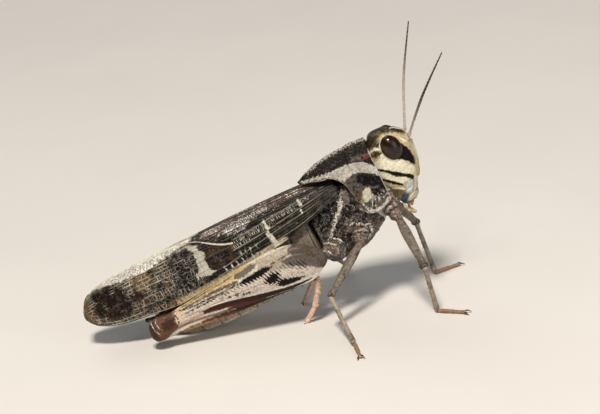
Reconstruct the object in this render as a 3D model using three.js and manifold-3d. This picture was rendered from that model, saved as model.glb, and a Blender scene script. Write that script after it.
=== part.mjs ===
// A band-winged grasshopper at life size, standing head-up on level ground with its wings folded.
// Millimetres, +Z up, +X towards the head, +Y to the animal's left, the ground at z = 0.
//
// Everything is drawn in the animal's long-axis frame: x counts from the wing tips towards the face, y to the
// left and z up from the line that joins wing tips and head. The whole animal is then pitched head-up and set
// on the ground. The legs are solved between their hips and their footholds on that ground.
import * as THREE from "three";
import { mergeVertices } from "three/addons/utils/BufferGeometryUtils.js";
import Module from "manifold-3d";

const wasm = await Module();
wasm.setup();

// ---------------------------------------------------------------- driving dimensions

const PITCH = THREE.MathUtils.degToRad(17.5); // head-up tilt of the long axis
const LIFT = 5.22; // height of the long axis over the ground at x = 0
const SHELL = 0.5; // thickness of the wings and of the pronotum
const GAP = 0.1; // between neighbouring pieces

// Trunk rows are [x, top, bottom, half width, squareness], from the rear to the front.
const ABDOMEN = [
  [7.0, -4.7, -6.9, 1.0, 2.0],
  [8.6, -3.8, -8.15, 1.75, 2.1],
  [11.0, -2.9, -8.95, 2.2, 2.2],
  [14.0, -2.0, -9.3, 2.5, 2.3],
  [17.5, -1.3, -9.25, 2.65, 2.3],
  [21.0, -0.8, -8.85, 2.7, 2.4],
  [24.5, -0.4, -8.3, 2.7, 2.4],
  [28.1, -0.1, -7.65, 2.7, 2.4],
];
const ABDOMEN_RINGS = 9;
const RING_STEP = 0.1; // how far each ring's rear edge stands out over the next one

const THORAX = [
  [28.25, 0.4, -7.85, 2.95, 2.4],
  [29.9, 0.7, -8.05, 3.2, 2.5],
  [31.6, 0.8, -8.0, 3.3, 2.5],
  [33.2, 0.8, -7.6, 3.2, 2.5],
  [34.6, 1.1, -6.9, 2.65, 2.4],
  [35.9, 1.3, -6.1, 2.4, 2.3],
  [37.0, 1.3, -5.0, 2.1, 2.2],
  [37.95, 1.1, -3.7, 1.6, 2.0],
];

// The pronotum's rows are [x, crest, shoulder y, shoulder z, lobe y, hem y].
const SADDLE = [
  [28.8, 2.45, 2.6, 0.7, 3.3, 3.3],
  [30.4, 3.15, 2.6, 1.35, 3.3, 3.3],
  [31.9, 3.65, 2.62, 2.1, 3.3, 3.25],
  [33.4, 3.9, 2.7, 2.45, 3.35, 3.2],
  [34.9, 4.02, 2.55, 2.6, 3.35, 3.1],
  [36.5, 4.12, 2.35, 2.6, 3.1, 2.9],
  [38.0, 4.0, 2.2, 2.45, 2.75, 2.6],
];
const SADDLE_HEM = -4.4;

// The pronotum from the side: the lower rear edge from the acute tip over the lobe to the front margin.
const SADDLE_EDGE = [
  [28.9, 2.5],
  [30.2, 2.42],
  [31.4, 2.35],
  [32.5, 2.25],
  [33.3, 1.75],
  [33.85, 1.0],
  [34.1, 0.2],
  [34.35, -1.0],
  [34.5, -2.5],
  [34.8, -3.35],
  [35.4, -3.72],
  [36.1, -3.83],
  [37.1, -3.6],
  [38.0, -3.2],
];

// A folded tegmen's rows are [x, top z, fold y, fold z, side y, side z, lower y, lower z], tip to base.
const TEGMEN = [
  [-0.6, -0.55, 0.95, -0.75, 1.15, -0.95, 1.2, -1.3],
  [0.0, 0.45, 0.85, 0.15, 1.35, -0.9, 1.45, -2.1],
  [1.0, 1.1, 1.0, 0.65, 1.6, -0.9, 1.75, -2.75],
  [3.2, 1.65, 1.35, 1.0, 2.0, -1.0, 2.2, -3.35],
  [6.5, 1.82, 1.65, 1.2, 2.35, -1.0, 2.65, -3.62],
  [10.5, 1.86, 1.85, 1.3, 2.6, -0.9, 2.97, -3.5],
  [15.0, 1.86, 2.0, 1.35, 2.8, -0.8, 3.2, -3.05],
  [20.0, 1.86, 2.2, 1.4, 3.0, -0.6, 3.32, -2.6],
  [24.5, 1.85, 2.3, 1.4, 3.1, -0.4, 3.38, -2.25],
  [28.4, 1.78, 2.3, 1.35, 3.2, 0.0, 3.4, -1.2],
  [30.9, 1.6, 2.2, 1.25, 3.1, 0.45, 3.35, -0.35],
  [32.9, 1.45, 2.1, 1.15, 2.95, 0.7, 3.15, 0.1],
];
const MIDLINE = 0.07; // half the slit between the two tegmina

// Head rows are [z, back x, front x, half width, squareness], from the mouth up to the crown.
const HEAD = [
  [-4.15, 38.75, 41.0, 1.75, 2.2],
  [-3.3, 38.35, 41.5, 2.15, 2.3],
  [-2.1, 38.15, 42.15, 2.42, 2.4],
  [-0.8, 38.12, 42.55, 2.5, 2.5],
  [0.5, 38.12, 42.75, 2.42, 2.5],
  [1.7, 38.12, 42.7, 2.25, 2.4],
  [2.8, 38.12, 42.3, 1.98, 2.3],
  [3.7, 38.25, 41.35, 1.5, 2.2],
  [4.17, 38.6, 40.4, 0.8, 2.0],
];
const FACE_RIDGE = 0.22; // how far the frontal ridge stands out
const EYE = { at: [40.5, 1.92, 2.2], radii: [1.12, 0.92, 1.55], lean: 0.16 };
const ANTENNA = {
  base: [42.25, 0.72, 2.2],
  scape: [0.75, 0.12, 0.55],
  right: [7.6, 4.6, 8.3],
  left: [5.4, 4.2, 10.2],
};

// Legs. Coxae are ellipsoids; hips are where the femora start; footholds are [x, y, height over the ground].
const LEGS = {
  fore: {
    coxa: { at: [37.35, 2.0, -4.75], radii: [0.85, 0.95, 1.3] },
    hip: [37.7, 2.75, -5.75],
    femur: 6.8,
    tibia: 6.3,
    bend: [0.25, 1, 0.25],
    ankle: [37.2, 5.9, 0.5],
    toe: [39.9, 7.4, 0.2],
    girth: 1,
  },
  mid: {
    coxa: { at: [32.85, 2.6, -5.5], radii: [1.05, 0.95, 1.3] },
    hip: [32.6, 3.3, -6.2],
    femur: 7.5,
    tibia: 6.5,
    bend: [-1, 0, 0.1],
    ankle: [27.5, 12.0, 0.5],
    toe: [27.8, 15.4, 0.2],
    girth: 0.95,
  },
};
const STRIDE = { right: 0, left: 0.9 }; // how far the left fore and middle feet are set ahead

const FEMUR = [
  [0, 0.22, 0.2],
  [0.08, 0.42, 0.36],
  [0.3, 0.58, 0.48],
  [0.55, 0.55, 0.44],
  [0.8, 0.46, 0.38],
  [0.94, 0.47, 0.4],
  [1, 0.3, 0.26],
];
const TIBIA = [
  [0, 0.22, 0.2],
  [0.08, 0.36, 0.33],
  [0.3, 0.3, 0.28],
  [0.6, 0.27, 0.26],
  [0.92, 0.32, 0.3],
  [1, 0.2, 0.2],
];

// The jumping leg: its femur's rows are [x, top, bottom, half thickness, squareness], from knee to hip.
const HIND = {
  y: 4.5,
  femur: [
    [6.0, -4.5, -5.8, 0.42, 2.0],
    [6.5, -3.85, -6.3, 0.85, 2.2],
    [7.6, -3.62, -6.35, 1.0, 2.3],
    [8.8, -3.75, -5.85, 0.8, 2.2],
    [10.6, -3.6, -5.6, 0.72, 2.1],
    [14.0, -3.15, -5.95, 0.9, 2.0],
    [17.2, -2.7, -6.25, 1.05, 2.0],
    [20.4, -2.3, -6.6, 1.15, 2.0],
    [23.3, -2.12, -6.9, 1.15, 2.0],
    [25.6, -2.55, -7.05, 1.05, 2.0],
    [27.3, -3.6, -6.75, 0.8, 2.0],
    [28.4, -4.7, -6.0, 0.5, 2.0],
  ],
  coxa: { at: [29.5, 2.95, -5.75], radii: [1.35, 1.25, 1.5] },
  tibia: [
    [7.5, 4.5, -6.15],
    [12.0, 4.48, -6.42],
    [18.0, 4.42, -7.0],
    [23.0, 4.32, -7.62],
    [26.3, 4.2, -8.2],
  ],
  tarsus: [
    [26.3, 4.2, -8.35],
    [25.25, 3.9, -9.85],
    [24.25, 3.5, -11.2],
  ],
  toe: [22.75, 3.05, 0.24],
};
// A claw's points from the toe, as [forward, sideways, up].
const CLAW = [
  [-0.1, 0.1, 0],
  [0.42, 0.3, 0.12],
  [0.8, 0.42, -0.12],
];
const SPINES = { rows: 2, count: 6, first: 0.3, last: 0.95, length: 0.75, base: 0.16, sunk: 0.2 };

// ---------------------------------------------------------------- materials

const COLOURS = {
  head: "#b5a77a",
  eye: "#2a1a12",
  horn: "#6b4a33",
  pronotum: "#3a2f28",
  pleura: "#4b4541",
  belly: "#c8b78f",
  tegmen: "#5a4a3a",
  hindwing: "#8c8068",
  femur: "#a39a8c",
  tibia: "#8a4a42",
  leg: "#8d8070",
  foot: "#cfa88c",
};
const GLOSS = { eye: 0.12, horn: 0.4 };

const materials = Object.fromEntries(
  Object.entries(COLOURS).map(([name, color]) => [
    name,
    new THREE.MeshStandardMaterial({ name, color, roughness: GLOSS[name] ?? 0.55, metalness: 0 }),
  ]),
);

// ---------------------------------------------------------------- shaping

const vector = (point) => new THREE.Vector3(...point);
const UP = new THREE.Vector3(0, 0, 1);
const FORWARD = new THREE.Vector3(1, 0, 0);

// The point at x and y that is a given height over the ground.
function overGround([x, y, height]) {
  return new THREE.Vector3(x, y, (height - LIFT - x * Math.sin(PITCH)) / Math.cos(PITCH));
}

// A smooth value between rows of numbers, t running from the first row (0) to the last (1).
function between(rows, t) {
  const place = THREE.MathUtils.clamp(t, 0, 1) * (rows.length - 1);
  const i = Math.min(Math.floor(place), rows.length - 2);
  const f = place - i;
  const row = (j) => rows[THREE.MathUtils.clamp(j, 0, rows.length - 1)];
  return rows[0].map((_, column) => {
    const [a, b, c, d] = [-1, 0, 1, 2].map((step) => row(i + step)[column]);
    return b + 0.5 * f * (c - a + f * (2 * a - 5 * b + 4 * c - d + f * (3 * (b - c) + d - a)));
  });
}

// The sine or cosine of a circle, pushed towards a rounded square as the power grows over 2.
const squared = (value, power) => Math.sign(value) * Math.abs(value) ** (2 / power);

// A closed skin of rings: a sphere's grid whose rings are placed by ring(t, c, s), with c and s running round
// the ring, and whose two poles close the first and the last ring. (axis, c, s) is right-handed.
function rings(around, steps, ring) {
  const geometry = new THREE.SphereGeometry(1, around, steps + 2);
  const position = geometry.getAttribute("position");
  for (let k = 0; k < position.count; k += 1) {
    const row = Math.floor(k / (around + 1));
    const turn = ((k % (around + 1)) % around) * ((2 * Math.PI) / around);
    const t = THREE.MathUtils.clamp((row - 1) / steps, 0, 1);
    const pole = row === 0 || row === steps + 2;
    const point = pole ? ring(t, 1, 0).lerp(ring(t, -1, 0), 0.5) : ring(t, -Math.cos(turn), Math.sin(turn));
    position.setXYZ(k, point.x, point.y, point.z);
  }
  return geometry;
}

// A body lofted along x from rows of [x, top, bottom, half width, squareness].
function bodyOf(rows, around, steps, grow = 0) {
  return rings(around, steps, (t, c, s) => {
    const [x, top, bottom, half, power] = between(rows, t);
    const z = (top + bottom) / 2 + squared(s, power) * ((top - bottom) / 2 + grow);
    return new THREE.Vector3(x + (t - 0.5) * 2 * grow, squared(c, power) * (half + grow), z);
  });
}

// A limb between two joints, from rows of [share of the way, half depth, half thickness].
function limbOf(from, to, rows, { around = 8, steps = 8, up = UP, grow = 0, girth = 1 } = {}) {
  const axis = to.clone().sub(from).normalize();
  const start = from.clone().addScaledVector(axis, -grow);
  const length = from.distanceTo(to) + 2 * grow;
  const deep = up.clone().addScaledVector(axis, -up.dot(axis)).normalize();
  const wide = deep.clone().cross(axis);
  return rings(around, steps, (t, c, s) => {
    const [share, depth, thickness] = between(rows, t);
    return start
      .clone()
      .addScaledVector(axis, share * length)
      .addScaledVector(deep, s * (depth * girth + grow))
      .addScaledVector(wide, c * (thickness * girth + grow));
  });
}

// A tube along a curve, its radius given by radius(t).
function tubeOf(curve, around, steps, radius) {
  const { tangents, normals } = curve.computeFrenetFrames(steps);
  return rings(around, steps, (t, c, s) => {
    const i = Math.round(t * steps);
    const side = tangents[i].clone().cross(normals[i]);
    return curve
      .getPointAt(t)
      .addScaledVector(normals[i], c * radius(t))
      .addScaledVector(side, s * radius(t));
  });
}

// A bent plate whose outer face is surface(u, v); it is as thick as asked towards the inside.
function plateOf(surface, long, wide, { thick = SHELL, sink = 0 } = {}) {
  const geometry = new THREE.BoxGeometry(1, 1, 1, long, wide, 1);
  const position = geometry.getAttribute("position");
  const step = 1e-3;
  for (let k = 0; k < position.count; k += 1) {
    const u = position.getX(k) + 0.5;
    const v = position.getY(k) + 0.5;
    const lengthways = surface(u + step, v).sub(surface(u - step, v));
    const across = surface(u, v + step).sub(surface(u, v - step));
    const normal = lengthways.cross(across).normalize();
    const point = surface(u, v).addScaledVector(normal, (position.getZ(k) - 0.5) * thick - sink);
    position.setXYZ(k, point.x, point.y, point.z);
  }
  return geometry;
}

// The same faces, wound the other way round.
function turnedOut(geometry) {
  const index = geometry.getIndex();
  for (let i = 0; i < index.count; i += 3) {
    const first = index.getX(i);
    index.setX(i, index.getX(i + 1));
    index.setX(i + 1, first);
  }
  return geometry;
}

function ellipsoidOf({ at, radii, lean = 0 }, grow = 0, around = 8, steps = 6) {
  return new THREE.SphereGeometry(1, around, steps)
    .rotateX(Math.PI / 2)
    .scale(...radii.map((radius) => radius + grow))
    .rotateY(lean)
    .translate(...at);
}

const blockOf = (x0, x1, y0, y1, z0, z1) =>
  new THREE.BoxGeometry(x1 - x0, y1 - y0, z1 - z0).translate((x0 + x1) / 2, (y0 + y1) / 2, (z0 + z1) / 2);

// The ground as a block under the animal, in the long-axis frame.
function groundBlock() {
  const under = overGround([25, 0, 0]);
  return blockOf(-60, 60, -40, 40, -20, 0).rotateY(PITCH).translate(under.x, under.y, under.z);
}

// The other side's copy of a piece: y changes sign.
const mirrored = (geometry) => turnedOut(geometryOf(solidOf(geometry)).scale(1, -1, 1));

// ---------------------------------------------------------------- joining and cutting

function solidOf(geometry) {
  const bare = geometry.clone();
  for (const name of Object.keys(bare.attributes)) {
    if (name !== "position") bare.deleteAttribute(name);
  }
  const merged = mergeVertices(bare, 1e-4);
  return new wasm.Manifold(
    new wasm.Mesh({
      numProp: 3,
      vertProperties: merged.getAttribute("position").array,
      triVerts: new Uint32Array(merged.index.array),
    }),
  );
}

function geometryOf(solid) {
  const mesh = solid.getMesh();
  return new THREE.BufferGeometry()
    .setAttribute("position", new THREE.BufferAttribute(new Float32Array(mesh.vertProperties), 3))
    .setIndex(new THREE.BufferAttribute(new Uint32Array(mesh.triVerts), 1));
}

const joined = (...pieces) => geometryOf(pieces.map(solidOf).reduce((sum, next) => sum.add(next)));
const shared = (...pieces) => geometryOf(pieces.map(solidOf).reduce((sum, next) => sum.intersect(next)));
const cut = (piece, ...tools) =>
  geometryOf(tools.map(solidOf).reduce((left, tool) => left.subtract(tool), solidOf(piece)));

// ---------------------------------------------------------------- trunk

function abdomen() {
  const steps = ABDOMEN_RINGS * 2;
  const body = rings(12, steps, (t, c, s) => {
    const [x, top, bottom, half, power] = between(ABDOMEN, t);
    const rear = Math.round(t * steps) % 2 === 0;
    const flare = rear && t > 0 && t < 1 ? RING_STEP : 0;
    const z = (top + bottom) / 2 + squared(s, power) * ((top - bottom) / 2 + flare);
    return new THREE.Vector3(x, squared(c, power) * (half + flare), z);
  });
  return cut(body, groundBlock());
}

// The cross-section of the saddle, v running from one hem over the crest to the other.
function saddle(u, v) {
  const [x, crest, shoulderY, shoulderZ, lobe, hem] = between(SADDLE, u);
  const section = [
    [0, crest],
    [shoulderY * 0.55, crest - (crest - shoulderZ) * 0.42],
    [shoulderY, shoulderZ],
    [lobe, (shoulderZ + SADDLE_HEM) * 0.35],
    [(lobe + hem) / 2, (shoulderZ + SADDLE_HEM * 2.4) * 0.35],
    [hem, SADDLE_HEM],
  ];
  const [y, z] = between(section, Math.abs(v - 0.5) * 2);
  return new THREE.Vector3(x, v < 0.5 ? -y : y, z);
}

function pronotum() {
  const outline = new THREE.Shape([new THREE.Vector2(38.0, 6), new THREE.Vector2(28.9, 6)]);
  outline.splineThru(SADDLE_EDGE.map(([x, z]) => new THREE.Vector2(x, z)));
  const prism = new THREE.ExtrudeGeometry(outline, { depth: 12, bevelEnabled: false, curveSegments: 2 });
  prism.rotateX(Math.PI / 2).translate(0, 6, 0);
  return shared(plateOf(saddle, 7, 16), prism);
}

const thorax = (grow = 0) => bodyOf(THORAX, 14, 8, grow);

// ---------------------------------------------------------------- head

function capsule(grow = 0) {
  return rings(20, 10, (t, c, s) => {
    const [z, back, front, half, power] = between(HEAD, t);
    const ridge = c > 0.99 && t > 0.12 && t < 0.85 ? FACE_RIDGE : 0;
    const x = (front + back) / 2 + squared(c, power) * ((front - back) / 2 + grow) + ridge;
    return new THREE.Vector3(x, squared(s, power) * (half + grow), z + (t - 0.5) * 2 * grow);
  });
}

// An eye stands out of the capsule as a dome.
const eye = () => cut(ellipsoidOf(EYE, 0, 12, 8), capsule(GAP / 2));

// An antenna with either side's reach, drawn on the left.
function antenna(side) {
  const base = vector(ANTENNA.base);
  const elbow = base.clone().add(vector(ANTENNA.scape));
  const tip = elbow.clone().add(vector(ANTENNA[side]));
  const bow = elbow.clone().lerp(tip, 0.5).addScaledVector(FORWARD, -0.35);
  const curve = new THREE.CatmullRomCurve3([base, elbow, bow, tip]);
  return cut(tubeOf(curve, 6, 12, (t) => (t < 0.07 ? 0.42 : 0.29 - 0.04 * t)), capsule(GAP));
}

function mouthparts() {
  const jaws = ellipsoidOf({ at: [39.75, 0, -4.35], radii: [1.35, 1.5, 1.25], lean: 0.25 }, 0, 10, 6);
  const palps = [
    [[39.0, 1.0, -4.6], [38.95, 1.6, -5.2], [39.3, 1.75, -5.9], [39.9, 1.6, -6.3]],
    [[39.4, 0.6, -5.0], [39.3, 0.9, -5.8], [39.7, 0.95, -6.3]],
  ].map((route) => tubeOf(new THREE.CatmullRomCurve3(route.map(vector)), 4, 3, () => 0.25));
  const whole = joined(jaws, ...palps, ...palps.map(mirrored));
  return cut(whole, capsule(GAP));
}

// ---------------------------------------------------------------- wings

// The left tegmen's outer face, u from the tip to the base and v from the midline down to the front edge.
function tegmenFace(u, v) {
  const [x, top, foldY, foldZ, sideY, sideZ, lowY, lowZ] = between(TEGMEN, u);
  const section = [
    [MIDLINE, top],
    [foldY * 0.55, top - (top - foldZ) * 0.3],
    [foldY, foldZ],
    [sideY, sideZ],
    [lowY, lowZ],
  ];
  const [y, z] = between(section, v);
  return new THREE.Vector3(x, y, z);
}

// A wing stays on its own side of the midline.
const ownSide = (plate) => cut(plate, blockOf(-5, 40, -5, MIDLINE, -8, 8));
const tegmen = () => ownSide(plateOf(tegmenFace, 16, 5));

// The folded hindwing lies under the tegmen's upper half and stops short of its tip and base.
const hindwingFace = (u, v) => tegmenFace(0.24 + 0.56 * u, 0.1 + 0.42 * v);
const hindwing = () => ownSide(plateOf(hindwingFace, 8, 3, { sink: SHELL + GAP }));

// ---------------------------------------------------------------- legs

// The knee of a leg with segments of given length, on the side of the hip-to-ankle line that it bends to.
function kneeOf(hip, ankle, femur, tibia, bend) {
  const reach = hip.distanceTo(ankle);
  const axis = ankle.clone().sub(hip).normalize();
  const along = (femur ** 2 - tibia ** 2 + reach ** 2) / (2 * reach);
  const aside = Math.sqrt(femur ** 2 - along ** 2);
  const out = bend.clone().addScaledVector(axis, -bend.dot(axis)).normalize();
  return hip.clone().addScaledVector(axis, along).addScaledVector(out, aside);
}

// Three tarsal segments through the joints given, and two claws; their soles are cut flat by the ground.
function tarsusOf(joints) {
  const toe = joints[joints.length - 1];
  const before = joints[joints.length - 2];
  const ahead = toe.clone().sub(before).normalize();
  const side = UP.clone().cross(ahead).normalize();
  const rows = [
    [-0.06, 0.2, 0.19],
    [0.3, 0.28, 0.26],
    [0.72, 0.31, 0.29],
    [1.06, 0.2, 0.19],
  ];
  const parts = joints.slice(1).map((to, i) => limbOf(joints[i], to, rows, { around: 6, steps: 2 }));
  const claws = [-1, 1].map((way) => {
    const place = ([forward, sideways, up]) =>
      toe
        .clone()
        .addScaledVector(ahead, forward)
        .addScaledVector(side, way * sideways)
        .addScaledVector(UP, up);
    return tubeOf(new THREE.CatmullRomCurve3(CLAW.map(place)), 4, 3, (t) => 0.17 - 0.09 * t);
  });
  return cut(joined(...parts, ...claws), groundBlock());
}

function walkingLeg(leg, stride) {
  const shift = (point) => [point[0] + stride, point[1], point[2]];
  const hip = vector(leg.hip);
  const ankle = overGround(shift(leg.ankle));
  const toe = overGround(shift(leg.toe));
  const knee = kneeOf(hip, ankle, leg.femur, leg.tibia, vector(leg.bend));
  const limb = (from, to, rows, grow) => limbOf(from, to, rows, { up: FORWARD, grow, girth: leg.girth });
  const heel = ankle.clone().setZ(ankle.z - 0.25);
  const joints = [heel, heel.clone().lerp(toe, 0.42), heel.clone().lerp(toe, 0.62), toe];
  return {
    coxa: cut(ellipsoidOf(leg.coxa), thorax(GAP)),
    femur: cut(limb(hip, knee, FEMUR, 0), ellipsoidOf(leg.coxa, GAP), thorax(GAP)),
    tibia: cut(limb(knee, ankle, TIBIA, 0), limb(hip, knee, FEMUR, GAP)),
    tarsus: cut(tarsusOf(joints), limb(knee, ankle, TIBIA, GAP)),
  };
}

function hindTibia(grow = 0) {
  const curve = new THREE.CatmullRomCurve3(HIND.tibia.map(vector));
  const shaft = tubeOf(curve, 8, 10, (t) => (t < 0.05 ? 0.42 : 0.34 + 0.1 * t ** 4) + grow);
  if (grow > 0) return shaft;
  const spines = [];
  for (let i = 0; i < SPINES.count; i += 1) {
    for (let row = 0; row < SPINES.rows; row += 1) {
      const share = SPINES.first + ((SPINES.last - SPINES.first) * (i + row * 0.4)) / SPINES.count;
      const way = new THREE.Vector3(0.55, row === 0 ? 0.75 : -0.75, -1).normalize();
      const cone = new THREE.ConeGeometry(SPINES.base, SPINES.length, 4);
      cone.translate(0, SPINES.length / 2 + SPINES.sunk, 0);
      cone.applyQuaternion(new THREE.Quaternion().setFromUnitVectors(new THREE.Vector3(0, 1, 0), way));
      const root = curve.getPointAt(share);
      spines.push(cone.translate(root.x, root.y, root.z));
    }
  }
  return joined(shaft, ...spines);
}

function hindLeg() {
  const femur = (grow) => bodyOf(HIND.femur, 12, 14, grow).translate(0, HIND.y, 0);
  const joints = [...HIND.tarsus.map(vector), overGround(HIND.toe)];
  return {
    coxa: cut(ellipsoidOf(HIND.coxa), thorax(GAP)),
    femur: cut(femur(0), ellipsoidOf(HIND.coxa, GAP)),
    tibia: cut(hindTibia(), femur(GAP)),
    tarsus: cut(tarsusOf(joints), hindTibia(GAP)),
  };
}

// ---------------------------------------------------------------- the tip of the abdomen

function ovipositor() {
  const base = ellipsoidOf({ at: [6.85, 0, -5.8], radii: [0.7, 0.75, 0.95] });
  const valves = [-1, 1].flatMap((way) =>
    [
      [[6.8, 0.25 * way, -5.4], [5.9, 0.25 * way, -5.2], [5.3, 0.22 * way, -4.85]],
      [[6.8, 0.25 * way, -6.2], [5.9, 0.25 * way, -6.4], [5.3, 0.22 * way, -6.75]],
    ].map((route) => tubeOf(new THREE.CatmullRomCurve3(route.map(vector)), 4, 3, (t) => 0.34 - 0.2 * t)),
  );
  return cut(joined(base, ...valves), blockOf(6.9, 9, -2, 2, -9, -3));
}

function cercus() {
  const route = [[8.6, 1.0, -4.6], [7.7, 1.5, -4.5], [7.0, 1.75, -4.3]];
  const curve = new THREE.CatmullRomCurve3(route.map(vector));
  return cut(tubeOf(curve, 6, 4, (t) => 0.34 - 0.2 * t), bodyOf(ABDOMEN, 12, 18, GAP + RING_STEP));
}

// ---------------------------------------------------------------- assembly

const group = new THREE.Group();
const animal = new THREE.Group();
animal.rotation.y = -PITCH;
group.add(animal);

// Adds a piece whose own origin is the middle of its box, placed where it belongs on the animal.
function piece(name, geometry, material) {
  const mesh = new THREE.Mesh(geometry, materials[material]);
  geometry.computeBoundingBox();
  geometry.boundingBox.getCenter(mesh.position);
  geometry.translate(-mesh.position.x, -mesh.position.y, -mesh.position.z);
  mesh.name = name;
  animal.add(mesh);
}

function pair(name, geometry, material) {
  piece(`${name}_right`, mirrored(geometry), material);
  piece(`${name}_left`, geometry, material);
}

function legNodes(name, side, leg, materialOf) {
  for (const [segment, geometry] of Object.entries(leg)) {
    const shape = side === "right" ? mirrored(geometry) : geometry;
    piece(`${name}_${segment}_${side}`, shape, materialOf[segment]);
  }
}

piece("thorax", thorax(), "pleura");
piece("abdomen", abdomen(), "belly");
piece("pronotum", pronotum(), "pronotum");
piece("head", capsule(), "head");
piece("mouthparts", mouthparts(), "horn");
pair("eye", eye(), "eye");
piece("antenna_right", mirrored(antenna("right")), "horn");
piece("antenna_left", antenna("left"), "horn");
pair("tegmen", tegmen(), "tegmen");
pair("hindwing", hindwing(), "hindwing");
pair("cercus", cercus(), "belly");
piece("ovipositor", ovipositor(), "horn");
for (const side of ["right", "left"]) {
  const walking = { coxa: "pleura", femur: "leg", tibia: "leg", tarsus: "foot" };
  legNodes("foreleg", side, walkingLeg(LEGS.fore, STRIDE[side]), walking);
  legNodes("midleg", side, walkingLeg(LEGS.mid, STRIDE[side]), walking);
  legNodes("hindleg", side, hindLeg(), { coxa: "pleura", femur: "femur", tibia: "tibia", tarsus: "foot" });
}

// The origin stands on the ground under the middle of the animal's box.
const box = new THREE.Box3().setFromObject(group, true);
const middle = box.getCenter(new THREE.Vector3());
animal.position.set(-middle.x, -middle.y, LIFT);

export default group;
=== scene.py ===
"""A band-winged grasshopper at life size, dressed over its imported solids.

Shapes are drawn in millimetres in the animal's long-axis frame: x counts from the wing tips towards the
face, y to the animal's left and z up from the line that joins wing tips and head. placed() then pitches them
head-up and sets them on the floor, in metres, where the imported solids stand. A left shape serves both sides.
"""

import math

import bmesh
import bpy
import numpy as np
from bpy.props import FloatProperty, FloatVectorProperty, IntProperty, PointerProperty
from mathutils import Matrix, Vector


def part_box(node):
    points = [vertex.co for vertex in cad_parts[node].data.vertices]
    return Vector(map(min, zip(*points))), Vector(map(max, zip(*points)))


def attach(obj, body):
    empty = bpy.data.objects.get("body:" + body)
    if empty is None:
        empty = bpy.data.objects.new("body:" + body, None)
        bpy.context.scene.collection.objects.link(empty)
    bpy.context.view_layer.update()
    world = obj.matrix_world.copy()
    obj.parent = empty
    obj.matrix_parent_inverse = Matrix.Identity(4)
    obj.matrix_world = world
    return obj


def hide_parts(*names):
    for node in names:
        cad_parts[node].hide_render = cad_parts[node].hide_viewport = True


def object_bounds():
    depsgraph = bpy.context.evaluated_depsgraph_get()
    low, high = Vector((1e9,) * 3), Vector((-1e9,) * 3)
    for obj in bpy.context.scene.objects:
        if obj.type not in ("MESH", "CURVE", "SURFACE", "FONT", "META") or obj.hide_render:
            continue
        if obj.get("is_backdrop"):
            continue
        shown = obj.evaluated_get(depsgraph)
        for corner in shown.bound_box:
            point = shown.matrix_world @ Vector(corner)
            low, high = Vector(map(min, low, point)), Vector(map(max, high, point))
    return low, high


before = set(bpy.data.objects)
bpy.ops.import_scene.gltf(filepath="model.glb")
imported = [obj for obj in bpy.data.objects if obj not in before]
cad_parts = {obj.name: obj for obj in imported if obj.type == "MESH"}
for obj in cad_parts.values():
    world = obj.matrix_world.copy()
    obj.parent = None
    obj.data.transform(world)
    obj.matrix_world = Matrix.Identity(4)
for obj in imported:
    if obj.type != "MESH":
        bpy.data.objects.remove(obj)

bl_info = {
    "name": "Band-winged grasshopper",
    "version": (1, 0, 0),
    "blender": (4, 5, 0),
    "location": "View3D > Sidebar > Grasshopper",
    "description": "Models the shell, wings, legs and markings of a grasshopper over its packed solids",
    "category": "Object",
}

MM = 0.001
SOLIDS_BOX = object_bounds()
SIDES = {"right": -1, "left": 1}

# ------ the animal's frame

PITCH = math.radians(17.5)
LIFT = 5.22
ABDOMEN_END = (7.0, -4.7)
SHIFT = ABDOMEN_END[0] * math.cos(PITCH) - ABDOMEN_END[1] * math.sin(PITCH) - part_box("abdomen")[0].x / MM


def placed(points):
    """Points of the long-axis frame, in millimetres, as metres in the world. Nothing goes under the floor."""
    x, y, z = np.asarray(points, float).T
    along = x * math.cos(PITCH) - z * math.sin(PITCH) - SHIFT
    up = x * math.sin(PITCH) + z * math.cos(PITCH) + LIFT
    return np.stack([along, y, np.maximum(up, 0)], 1) * MM


def over_ground(x, y, height):
    """The point at x and y that is a given height over the floor."""
    return np.array([x, y, (height - LIFT - x * math.sin(PITCH)) / math.cos(PITCH)])


# Markings are laid out flat, as seen from the side and 20 degrees above. Both sides are marked alike.
FLAT_X = (0.9947, -0.0338, -0.0971)
FLAT_Z = (0.9447, -0.3279)


def flat(points):
    """Where points lie on the flat layout of the markings."""
    x, y, z = points.T
    out = np.abs(y)
    return np.stack([FLAT_X[0] * x + FLAT_X[1] * z + FLAT_X[2] * out, FLAT_Z[0] * z + FLAT_Z[1] * out], 1)


# ------ sizes and colours


def linear(code):
    """An sRGB hex code as a linear colour."""
    parts = [int(code[i : i + 2], 16) / 255 for i in (0, 2, 4)]
    return tuple(v / 12.92 if v <= 0.04045 else ((v + 0.055) / 1.055) ** 2.4 for v in parts) + (1.0,)


def tint(description, code, name):
    """A colour that the user can change."""
    return FloatVectorProperty(
        name=name.title(),
        description=description,
        subtype="COLOR",
        size=4,
        min=0,
        max=1,
        default=linear(code),
    )


def length(description, metres, name):
    """A length that the user can change."""
    return FloatProperty(name=name, description=description, default=metres, unit="LENGTH")


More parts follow.
